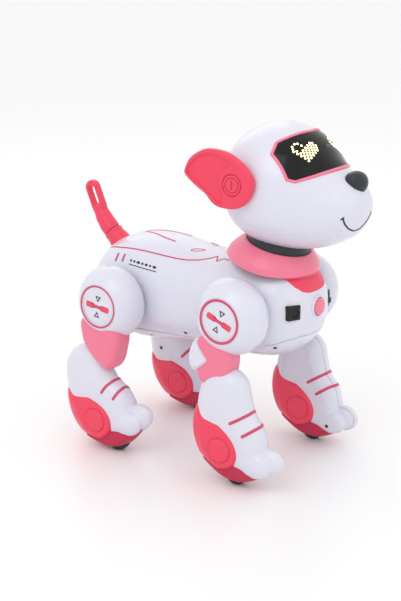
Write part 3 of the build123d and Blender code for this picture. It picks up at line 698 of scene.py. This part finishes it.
def eye(side):
    """Points and faces of a heart of round lamps on the lens."""
    parts = []
    centre = drop(HEAD, [(VISOR_START, side * EYE_AT[0], EYE_AT[1])], BACKWARD)[0]
    out = normals(HEAD, centre[None])[0]
    turn, _ = frame_at(centre, out)
    for row, line in enumerate(HEART):
        for column, mark in enumerate(line):
            if mark != ".":
                u = (column - (len(line) - 1) / 2) * DOT_PITCH[0]
                v = ((len(HEART) - 1) / 2 - row) * DOT_PITCH[1]
                spot = centre + turn @ np.array([u, v, 0.0])
                spot = settle(HEAD, spot[None], 6, 3.0)[0]
                n = normals(HEAD, spot[None])[0]
                bead = [(0.82, 0.3), (0.8, 0.55), (0.6, 0.72), (0.3, 0.8), (0.02, 0.82)]
                parts.append(lathe(bead, frame_at(spot, n), 12))
    return merged(parts)


NOSE, NOSE_SIZE = (112.6, 0, 213.0), (8.2, 9.8, 7.9)
HEAD_FOOT = 4.9             # height of the head's flat underside above the neck's foot


def head():
    """Head shell with its visor, eyes and nose."""
    def shell(x, y, z):
        above = (x - NECK.x) * NECK_AXIS.x + (z - NECK.z) * NECK_AXIS.z
        return smooth_max(HEAD(x, y, z), HEAD_FOOT - above, 1.2)

    simple("head_shell", skin(shell, (12, -45, 160), (123, 45, 251), 0.95), WHITE, "head", "white_shell",
           replaces=("head_shell", "head_base"))
    full = flattened(VISOR + [(x, -y, z) for x, y, z in VISOR[-2:0:-1]])
    counts = [max(3, int(np.hypot(*(b - a)) / 0.8)) for a, b in zip(full, np.roll(full, -1, 0))]
    outer = sides(full, counts)
    inner = sides(inset_polygon(full, VISOR_BAND), counts)
    glass = sides(inset_polygon(full, VISOR_BAND - 0.2), counts)
    stand_in("visor_bezel", border(HEAD, outer, inner, on_head, 1.0), PINK, "head", "light_pink")
    stand_in("visor_lens", patch(HEAD, glass, on_head, 0.45, rings=26), LENS, "head", "black_lens")
    simple("eye_lamps", merged([eye(-1), eye(1)]), LAMP, "head", "black_lens", replaces=("eye_light_boards",))

    def muzzle_tip(x, y, z):
        v = (z - NOSE[2]) / NOSE_SIZE[2]
        return ellipsoid(x, y * (1.12 - 0.22 * np.clip(v, -1, 1)), z, NOSE, NOSE_SIZE)

    stand_in("nose", skin(muzzle_tip, (103, -12, 203), (122, 12, 222.5), 0.45), GREY, "head", "dark_grey")


# The ear's outline and its sunk panel, as x and z from its pin
EAR = [(-39.7, 6.7), (-35.1, 15), (-26.8, 20.6), (-18.8, 22.8), (-5, 21.5), (6.2, 15.8), (13.3, 8.8),
       (16.2, 2), (13.9, -6.5), (8.6, -13), (1.3, -16.3), (-7.9, -16.7), (-14.4, -15.3), (-18.8, -12),
       (-22.5, -8.4), (-28.8, -4.7), (-35.1, -0.5), (-38.9, 3)]
EAR_PANEL = [(-36.9, 6.7), (-32.6, 13.2), (-26.3, 17.5), (-18.1, 19.7), (-9.4, 18.8), (-1.1, 14.5),
             (-3.5, 11), (-9.4, 9), (-10.8, 3), (-9.8, -3), (-6.9, -9), (-7.9, -13.2), (-11.3, -13.4),
             (-14.2, -11.4), (-18.7, -8), (-24.9, -3.8), (-31.7, 0.3), (-35.9, 3.5)]


def ears():
    """Ear plates with a sunk panel, two rings and a slot about the pin."""
    rim_line, panel = closed_curve(EAR, 6), closed_curve(EAR_PANEL, 6)
    face = -49.4
    middle, half = -46.5, 2.9

    def solid(x, y, z):
        u, w = x - EAR_HUB.x, z - EAR_HUB.z
        flat = outline_distance(u, w, rim_line)
        body = plate(flat, y, middle, half, 2.2)
        dish = smooth_max(outline_distance(u, w, panel), y - face - 1.5, 0.5)
        body = smooth_max(body, -dish, 0.5)
        r = np.hypot(u, w)
        groove = np.maximum(np.abs(r - 7.3) - 0.55, y - face - 1.2)
        inner_groove = np.maximum(np.abs(r - 5.2) - 0.45, y - face - 1.0)
        slot = np.maximum(np.maximum(np.abs(u) - 0.6, np.abs(w) - 3.2), y - face - 1.1)
        for cut in (groove, inner_groove, slot):
            body = smooth_max(body, -cut, 0.3)
        return body

    low = (EAR_HUB.x - 41, -50, EAR_HUB.z - 18)
    high = (EAR_HUB.x + 20, -43, EAR_HUB.z + 24.5)
    shape = skin(solid, low, high, 0.5)
    both("ear", shape, CORAL, ("ear_right", "ear_left"), "coral")


# Points along the tail, as x, z and radius, and the loop at its end
TAIL_PATH = [(-88, 143, 8.6), (-93, 147.5, 7.6), (-97.5, 151.5, 6.6), (-101.5, 155.6, 6.0),
             (-105.8, 161, 5.4), (-109.6, 167.5, 5.2)]
LOOP_CENTRE, LOOP_SIZE, SLOT_SIZE = (-113.8, 177.3), (24.6, 12.0), (16.4, 6.4)


def tail():
    """Tail with its slotted loop, and the socket it turns in."""
    def rod(x, y, z, a, b):
        ax, az, ar = a
        bx, bz, br = b
        dx, dz = bx - ax, bz - az
        t = np.clip(((x - ax) * dx + (z - az) * dz) / (dx * dx + dz * dz), 0, 1)
        return np.sqrt((x - ax - t * dx) ** 2 + (z - az - t * dz) ** 2 + y * y) - ar - t * (br - ar)

    cx, cz = LOOP_CENTRE
    turn = math.atan2(cz - TAIL_PATH[-1][1], cx - TAIL_PATH[-1][0])

    def stadium(x, z, size):
        long, wide = size
        u = (x - cx) * math.cos(turn) + (z - cz) * math.sin(turn)
        w = (z - cz) * math.cos(turn) - (x - cx) * math.sin(turn)
        reach = (long - wide) / 2
        return np.hypot(np.maximum(np.abs(u) - reach, 0), w) - wide / 2

    def across(x, z):
        return (x - TAIL_FOOT.x) * TAIL_AXIS.x + (z - TAIL_FOOT.z) * TAIL_AXIS.z

    joint_at = across(*TAIL_PATH[2][:2])

    def stalk(x, y, z):
        value = rod(x, y, z, TAIL_PATH[2], TAIL_PATH[3])
        for a, b in zip(TAIL_PATH[3:], TAIL_PATH[4:]):
            value = smooth_min(value, rod(x, y, z, a, b), 3.5)
        ring = plate(stadium(x, z, LOOP_SIZE), y, 0, 3.0, 1.8)
        value = smooth_min(value, ring, 3.0)
        value = smooth_max(value, -stadium(x, z, SLOT_SIZE), 0.6)
        return smooth_max(value, joint_at + 0.2 - across(x, z), 0.4)

    def socket(x, y, z):
        value = rod(x, y, z, TAIL_PATH[0], TAIL_PATH[2])
        step = np.maximum(value - 0.5, np.abs(across(x, z) - joint_at + 1.6) - 0.9)
        value = smooth_min(value, step, 0.4)
        return smooth_max(value, across(x, z) - joint_at + 0.1, 0.4)

    stand_in("tail", skin(stalk, (-126, -8, 146), (-90, 8, 192), 0.55), CORAL, "tail", "coral")
    stand_in("tail_socket", skin(socket, (-104, -11, 132), (-78, 11, 160), 0.6), CORAL, "trunk", "coral")


# ---------- legs
DOME_R, DOME_DEPTH, DISC_R, DOME_WIDEST, DOME_RIM_R = 27.3, 25.0, 16.0, 8.0, 21.5
DOME_INNER_Y = -38.3
LEG_MIDDLE, LEG_HALF, LEG_SEAM_Y = -51.75, 10.75, -49.0
# Outlines of the lower leg from its heel boss, as x and z with the foot level
SHIN = [(-18, 49), (-7, 56), (6, 56.5), (14.5, 49), (17.5, 37), (20.5, 27), (26.5, 19.5), (30, 11), (31.5, 1),
        (31, -9), (27, -15.5), (15, -17), (-2, -13), (-17, -9), (-24, 2), (-25, 18), (-23.5, 35)]
HEEL = [(-22, 31), (-27.8, 21), (-28.3, 5), (-21.5, -10), (-9, -15.5), (3, -15), (11.5, -10.5), (15, -3),
        (13, 5.5), (7, 13), (-5, 21.5), (-14, 28)]
SOLE = [(-19, -12), (-8, -20), (0, -23.5), (7.5, -24.5), (15, -23.8), (25, -19.5), (32, -13), (26, -8),
        (5, -6), (-14, -6)]
# Outlines of the upper pieces where they stand, as x and z
UPPER_ARM = [(25, 104), (22, 88), (24, 75), (31, 69), (45, 69), (50.5, 80), (52, 94), (45, 108)]
THIGH = [(-80, 100), (-80.5, 85), (-75, 75), (-66, 67), (-57.5, 63), (-51, 67), (-47, 77), (-45.5, 92),
         (-58, 104)]
GUARD = [(20, 101.5), (15.2, 92), (15.6, 83), (20.5, 77.5), (27, 81), (34.8, 88.3), (31.5, 94), (26, 100.5)]
ROLLER = (7.5, -18.0, 9.0)  # its x and z from the heel boss, and its radius
SHIN_LINE, HEEL_LINE, SOLE_LINE = closed_curve(SHIN, 5), closed_curve(HEEL, 6), closed_curve(SOLE, 5)


def paw(u, y, w):
    """One leg below the knee, about its heel boss, with the foot level."""
    value = domed(outline_distance(u, w, SHIN_LINE), y, LEG_MIDDLE, LEG_HALF, 12.0)
    for side in (-1, 1):
        toe = ellipsoid(u, y, w, (25.5, LEG_MIDDLE + side * 5.9, -7.6), (12.8, 5.3, 9.2))
        value = smooth_min(value, toe, 0.9)
    middle_toe = ellipsoid(u, y, w, (33.0, LEG_MIDDLE, -4.5), (12.3, 6.4, 9.8))
    return smooth_min(value, middle_toe, 0.9)


def pocket(u, y, w):
    """The slot in the sole that the roller turns in."""
    return np.maximum(np.hypot(u - ROLLER[0], w - ROLLER[1]) - ROLLER[2] - 0.7, np.abs(y - LEG_MIDDLE) - 4.3)


def feet():
    """The pieces of one lower leg: name, shape, material, slot and what they ride on."""
    def outer(u, y, w):
        return smooth_max(smooth_max(paw(u, y, w), y - LEG_SEAM_Y + SEAM, 0.5), -pocket(u, y, w), 0.4)

    def inner(u, y, w):
        return smooth_max(smooth_max(paw(u, y, w), LEG_SEAM_Y + SEAM - y, 0.5), -pocket(u, y, w), 0.4)

    def heel(u, y, w):
        reach = np.clip(3.2 - 0.9 * (u + 2), 3.2, 17.0)
        cover = domed(outline_distance(u, w, HEEL_LINE), y, LEG_MIDDLE, 12.7, reach)
        r = np.hypot(u, w)
        boss = plate(r - 8.4, y, LEG_MIDDLE, 13.65, 0.7)
        groove = np.maximum(np.abs(r - 8.9) - 0.35, 12.2 - np.abs(y - LEG_MIDDLE))
        cover = smooth_max(cover, -groove, 0.3)
        return smooth_max(np.minimum(cover, boss), -pocket(u, y, w), 0.4)

    def sole(u, y, w):
        value = domed(outline_distance(u, w, SOLE_LINE), y, LEG_MIDDLE, 9.4, 6.0)
        return smooth_max(value, -pocket(u, y, w), 0.4)

    low, high = (-32, -67, -29), (48, -37, 59)
    tyre = [(1.6, -3.7), (8.1, -3.7), (8.8, -3.2), (8.95, -2.4)]
    for i in range(-3, 4):
        tyre += [(8.95, i * 0.7 - 0.2), (8.6, i * 0.7 - 0.05), (8.6, i * 0.7 + 0.05), (8.95, i * 0.7 + 0.2)]
    tyre += [(8.95, 2.4), (8.8, 3.2), (8.1, 3.7), (1.6, 3.7)]
    wheel = lathe(tyre, frame_at((ROLLER[0], LEG_MIDDLE, ROLLER[1]), (0, -1, 0)), 72)
    return (("leg_outer_shell", skin(outer, low, (48, -48, 59), 0.75), WHITE, "white_shell", "leg"),
            ("leg_inner_shell", skin(inner, (-32, -50, -29), high, 0.75), WHITE, "white_shell", "leg"),
            ("heel_cover", skin(heel, low, high, 0.75), CORAL, "coral", "leg"),
            ("sole", skin(sole, low, high, 0.75), DEEP, "dark_coral", "leg"),
            ("roller", wheel, RUBBER, "roller_rubber", "roller"))


# Each pair of legs: its end, the heel boss's x and the foot's pitch in degrees, toes up
STANCES = (("front", 47.0, 0.0), ("rear", -65.5, 19.0))
# Each pair of domes: the hip, how far the signs are turned in degrees, and the ring's inner radius
DOMES = ((FRONT_HIP, -22.4, 14.1), (REAR_HIP, -8.0, 14.7))


def ankle_height(pitch):
    """How high the heel boss is where the roller touches the floor."""
    p = math.radians(pitch)
    return ROLLER[2] - ROLLER[0] * math.sin(p) - ROLLER[1] * math.cos(p)


def standing(ankle_x, pitch):
    """The paw's field where the foot stands."""
    p, ankle_z = math.radians(pitch), ankle_height(pitch)

    def field(x, y, z):
        dx, dz = x - ankle_x, z - ankle_z
        return paw(dx * math.cos(p) + dz * math.sin(p), y, dz * math.cos(p) - dx * math.sin(p))
    return field


def stood(points, ankle_x, pitch):
    """Foot points moved from the heel boss's frame to where the foot stands."""
    p, ankle_z = math.radians(pitch), ankle_height(pitch)
    u, y, w = np.asarray(points, float).T
    return np.column_stack([ankle_x + u * math.cos(p) - w * math.sin(p), y,
                            ankle_z + u * math.sin(p) + w * math.cos(p)])


def bar_outline():
    """The bar painted on a dome: wide at both ends, narrow in the middle."""
    end = [(-10.6, 1.2), (-10.1, 2.0), (-9.2, 2.15), (-4.5, 2.1), (-3.7, 1.1)]
    half = end + [(-u, v) for u, v in reversed(end)]
    return half + [(u, -v) for u, v in reversed(half)]


def dome_signs(hip, turn, ring_inner):
    """Painted ring, bar and two arrowheads on a dome's outer disc."""
    disc = Vector((hip.x, DOME_INNER_Y - DOME_DEPTH, hip.z))
    t = math.radians(turn)
    place = frame_at(disc, (0, -1, 0), up=(-math.sin(t), 0, math.cos(t)))
    ring = fillets([(DISC_R, -0.3), (DISC_R, 0.22), (ring_inner, 0.22), (ring_inner, -0.3)], 0.15)
    arrows = []
    for side in (-1, 1):
        outer = [(-2.5, side * 8.0), (2.5, side * 8.0), (0, side * 3.6)]
        inner = [(-1.3, side * 7.3), (1.3, side * 7.3), (0, side * 5.0)]
        if side < 0:
            outer, inner = outer[::-1], inner[::-1]
        arrows.append(badge(outer[::-1], inner[::-1], place, 0.2))
    bar = badge(bar_outline()[::-1], None, place, 0.25)
    return lathe(ring, place, 96), bar, merged(arrows)


def legs():
    """Domes, upper pieces, elbow guards and lower legs of both pairs."""
    parts = feet()
    front, rear = closed_curve(UPPER_ARM, 6), closed_curve(THIGH, 6)
    guard = closed_curve(GUARD, 6)

    def upper_arm(x, y, z):
        return plate(outline_distance(x, z, front), y, -51.25, 8.75, 5.5)

    def thigh(x, y, z):
        return plate(outline_distance(x, z, rear), y, -52.25, 9.75, 6.5)

    def elbow(x, y, z):
        reach = np.clip(3.0 + 0.8 * (27 - x), 3.0, 11.0)
        return domed(outline_distance(x, z, guard), y, -51.25, 10.75, reach)

    limbs = {"front": skin(upper_arm, (18, -61, 65), (60, -41, 111), 0.8),
             "rear": skin(thigh, (-90, -63, 58), (-40, -41, 107), 0.8)}
    both("elbow_guard", skin(elbow, (10, -63, 73), (33, -39, 104), 0.7), WHITE,
         ("front_right_leg", "front_left_leg"), "white_shell")
    rise = (DOME_DEPTH - DOME_WIDEST) / math.sin(math.acos(DISC_R / DOME_R))
    arc = [(DOME_RIM_R + (DOME_R - DOME_RIM_R) * math.sin(a), DOME_WIDEST * (1 - math.cos(a)))
           for a in np.linspace(0, math.pi / 2, 12)[:-1]]
    arc += [(DOME_R * math.cos(a), DOME_WIDEST + rise * math.sin(a))
            for a in np.linspace(0, math.acos((DISC_R + 0.6) / DOME_R), 26)]
    profile = [(0.02, 0.8), (DOME_RIM_R - 1.5, 0.8), (DOME_RIM_R - 0.6, 0.1)] + arc
    profile += [(DISC_R + 0.45, 24.6), (DISC_R + 0.3, 24.45), (DISC_R + 0.1, 24.7), (DISC_R, 25.0), (8, 25.0),
                (0.02, 25.0)]
    for (end, ankle_x, pitch), (hip, turn, ring_inner) in zip(STANCES, DOMES):
        bodies = (f"{end}_right_leg", f"{end}_left_leg")
        rollers = (f"{end}_right_roller", f"{end}_left_roller")
        for name, shape, material, slot, group in parts:
            on_leg = (stood(shape[0], ankle_x, pitch), shape[1])
            both(f"{end}_{name}", on_leg, material, bodies if group == "leg" else rollers, slot)
        both(f"{end}_upper_limb", limbs[end], PINK, bodies, "light_pink")
        place = frame_at((hip.x, DOME_INNER_Y, hip.z), (0, -1, 0))
        both(f"{end}_hip_dome", lathe(profile, place, 128), WHITE, bodies, "white_shell")
        ring, bar, arrows = dome_signs(hip, turn, ring_inner)
        both(f"{end}_dome_ring", ring, LINE, bodies, "dark_coral", stands_in=False)
        both(f"{end}_dome_bar", bar, CORAL, bodies, "coral", stands_in=False)
        both(f"{end}_dome_arrows", arrows, INK_AND_HOLE_SHADE, bodies, "black_plastic", stands_in=False)


# ---------- painted lines and small details
# Painted lines on the right side, as design coordinates close to the surface
BACK_LINE = [(-85.1, -17.8, 143.8), (-71.7, -23.6, 146.9), (-56.8, -25.6, 148.4), (-43.5, -25.9, 148.3),
             (-31, -25.4, 147.4), (-19.3, -24, 146.4), (-9.5, -22.5, 146.2), (-0.6, -19.7, 147.1),
             (5.9, -15.9, 148.6), (9.3, -12.1, 149.7), (12.5, -18.1, 147.7), (16.3, -14.4, 149.3),
             (22, -15.5, 149.2)]
BACK_BARS = [[(-69.3, -27.3, 144), (-69.9, -31.1, 137.8)], [(-62.5, -28.3, 144.5), (-63, -31.7, 138.7)]]
STREAK = [(-64.3, -1.8, 155.8), (-51.4, -6.1, 156.9), (-39.8, -9.4, 156), (-29.5, -10.4, 154.6)]
OVAL_CENTRE, OVAL_ALONG, OVAL_OVER = (-9.2, -10.6, 151.3), (4.3, 2.8, 0.0), (-0.95, 1.45, 0.2)
CHEST_PARTING = [(62, -31.5, 96), (66.6, -29, 97.6), (76.3, -24.8, 101), (83.1, -15.1, 103.2),
                 (84.5, 0, 102.8)]
# Plain dashes on the flank: their lengths, where the first starts, the gaps, and the fall per millimetre
DASHES = (2.2, 2.2, 3.4, 2.2, 2.8, 2.2, 3.4)
DASH_START, DASH_GAP, DASH_FALL = (-55.8, -31.2, 141.0), 1.0, 0.09
UNDERLINE = [(-56.2, -32.1, 138.2), (-42, -32.3, 137.0), (-30.5, -31.9, 136.0)]
# Screw holes on the flanks, drawn as dark discs of painted shade.
TRUNK_HOLES = [(-8, -27.8, 93), (67.6, -25.8, 94.9)]
MOUTH = [(114.2, -19.1, 192.5), (114.6, -17.1, 188.2), (115.3, -13.3, 184.6), (116.2, -7.8, 182.2),
         (117.8, -3, 183), (119.4, 2.1, 186.3), (119.7, 7.3, 189.9), (119.7, 9.6, 193)]
MOUTH_CORNER = [(112.9, -20.1, 191.3), (115, -18.3, 193.2)]
STRIPES = {"front": [
    [(54, -62.5, 47.5), (63.5, -59.3, 53.5), (67, -51.75, 56), (62.6, -44.2, 53.4), (53.8, -41, 47.4)],
    [(64.2, -62.5, 40.1), (72.1, -57.1, 45.7), (74, -51.75, 47), (70, -45.5, 45.6), (61.3, -41, 39.6)]],
    "rear": [
    [(-60.4, -62.5, 45.2), (-56.9, -60.4, 51.1), (-53.5, -52, 55), (-57, -43.5, 51), (-63.3, -41, 44.3)],
    [(-50, -62, 42.1), (-47.4, -58.4, 47.7), (-46.5, -51.75, 50), (-47.4, -45.5, 47.7), (-51, -41.5, 42.1)]]}
# Screw holes on the inner side of each leg, drawn as dark discs of painted shade.
LEG_HOLES = {"front": [(72.1, -41, 16.9)], "rear": [(-83.2, -41, 48.7)]}


def opposite(path):
    """The same path on the other side of the dog."""
    return [(x, -y, z) for x, y, z in path]


def beads(field, paths, width, proud=0.28):
    """Beads of one width along several paths on a surface."""
    return merged([ribbon(field, path, width, proud) for path in paths])


def holes(field, points):
    """Small dark discs where screws are sunk into a surface: painted shade standing in for the holes' depth.
    """
    spots = settle(field, np.array(points, float), 6, 3.0)
    return merged([lathe([(1.45, -0.2), (1.4, 0.08), (0.02, 0.08)], frame_at(p, n), 24)
                   for p, n in zip(spots, normals(field, spots))])


def back_ovals():
    """A small open oval on each side of the back."""
    turn = np.linspace(0, 2 * math.pi, 48, endpoint=False)[:, None]
    rings = []
    for side in (1, -1):
        centre, along, over = (np.array(v) * (1, side, 1) for v in (OVAL_CENTRE, OVAL_ALONG, OVAL_OVER))
        ring = centre + np.cos(turn) * along + np.sin(turn) * over
        rings.append(ribbon(BODY, ring, 0.7, 0.25, closed=True))
    return merged(rings)


def markings():
    """Painted lines, parting lines and screw holes."""
    simple("back_line", beads(BODY, [BACK_LINE, opposite(BACK_LINE)], 1.1), LINE, "trunk", "coral",
           replaces=("back_trim",))
    bars = BACK_BARS + [opposite(path) for path in BACK_BARS]
    simple("back_bars", beads(BODY, bars, 2.3), ROSE, "trunk", "coral")
    simple("back_streaks", beads(BODY, [STREAK, opposite(STREAK)], 1.5), LINE, "trunk", "coral")
    simple("back_ovals", back_ovals(), LINE, "trunk", "coral")
    dashes = []
    x, y, z = DASH_START
    for length in DASHES:
        dashes.append([(x, y, z), (x + length, y, z - DASH_FALL * length)])
        x += length + DASH_GAP
        z -= DASH_FALL * (length + DASH_GAP)
    simple("flank_dashes", beads(BODY, dashes, 1.9, 0.2), INK_AND_HOLE_SHADE, "trunk", "black_plastic")
    simple("flank_underline", beads(BODY, [UNDERLINE], 0.7, 0.2), INK_AND_HOLE_SHADE, "trunk", "black_plastic")
    parting = CHEST_PARTING + opposite(CHEST_PARTING[-2::-1])
    simple("chest_parting", beads(BODY, [parting], 0.5, 0.1), SHADE, "trunk", "white_shell")
    simple("trunk_screw_holes", holes(BODY, TRUNK_HOLES + opposite(TRUNK_HOLES)), INK_AND_HOLE_SHADE, "trunk",
           "black_plastic")
    simple("mouth", beads(HEAD, [MOUTH, MOUTH_CORNER], 1.2), INK_AND_HOLE_SHADE, "head", "black_plastic")
    for end, ankle_x, pitch in STANCES:
        leg = standing(ankle_x, pitch)
        bodies = (f"{end}_right_leg", f"{end}_left_leg")
        both(f"{end}_stripes", beads(leg, STRIPES[end], 2.3), LINE, bodies, "dark_coral", stands_in=False)
        both(f"{end}_leg_holes", holes(leg, LEG_HOLES[end]), INK_AND_HOLE_SHADE, bodies, "black_plastic",
             stands_in=False)


# ---------- what stays of the frame
def inner_pieces():
    """Materials for the frame's own nodes that no visible piece replaces."""
    finish = {"battery_pack": BLACK, "main_board": BOARD, "speaker": BLACK, "front_gearboxes": GEAR,
              "rear_gearboxes": GEAR, "neck_post": GREY, "belly_screws": STEEL, "switch_knob": GREY}
    for node, material in finish.items():
        mesh = frame["nodes"][node].data
        mesh.materials.clear()
        mesh.materials.append(material)


# ---------- studio
def studio():
    """A pale floor, an even white surround and three soft lamps."""
    size, rough = 40.0, 0.35
    corners = [(-size, -size, 0), (size, -size, 0), (size, size, 0), (-size, size, 0)]
    floor = bpy.data.meshes.new("floor")
    floor.from_pydata(corners, [], [(0, 1, 2, 3)])
    ground = bpy.data.objects.new("floor", floor)
    bpy.context.scene.collection.objects.link(ground)
    pale = bpy.data.materials.new("floor")
    pale.use_nodes = True
    shader = pale.node_tree.nodes["Principled BSDF"]
    shader.inputs["Base Color"].default_value = (0.93, 0.93, 0.93, 1)
    shader.inputs["Roughness"].default_value = rough
    floor.materials.append(pale)
    world = bpy.data.worlds.new("studio")
    world.use_nodes = True
    world.node_tree.nodes["Background"].inputs["Color"].default_value = (1, 1, 1, 1)
    world.node_tree.nodes["Background"].inputs["Strength"].default_value = 1.0
    bpy.context.scene.world = world
    for name, at, power, width in (("key", (0.15, -0.9, 1.1), 2.4, 0.8), ("fill", (1.1, 0.0, 0.7), 0.6, 0.9),
                                   ("back", (-0.8, 0.7, 1.0), 1.2, 0.9)):
        lamp = bpy.data.lights.new(name, "AREA")
        lamp.energy = power
        lamp.size = width
        light = bpy.data.objects.new(name, lamp)
        light.location = at
        light.rotation_euler = (Vector((0, 0, 0.12)) - Vector(at)).to_track_quat("-Z", "Y").to_euler()
        bpy.context.scene.collection.objects.link(light)


def camera():
    """The view from the dog's front right, a little above it."""
    lens = bpy.data.cameras.new("camera")
    lens.lens = 78.42
    lens.sensor_width = 36.0
    view = bpy.data.objects.new("camera", lens)
    view.location = Vector((530.0, -756.3, 381.7)) * MM
    aim = Vector((-13.81, 0.0, 109.79)) * MM
    view.rotation_euler = (aim - view.location).to_track_quat("-Z", "Y").to_euler()
    bpy.context.scene.collection.objects.link(view)
    bpy.context.scene.camera = view


trunk()
neck()
chest()
head()
ears()
tail()
legs()
markings()
inner_pieces()
studio()
camera()
bpy.context.scene.view_settings.view_transform = "Standard"
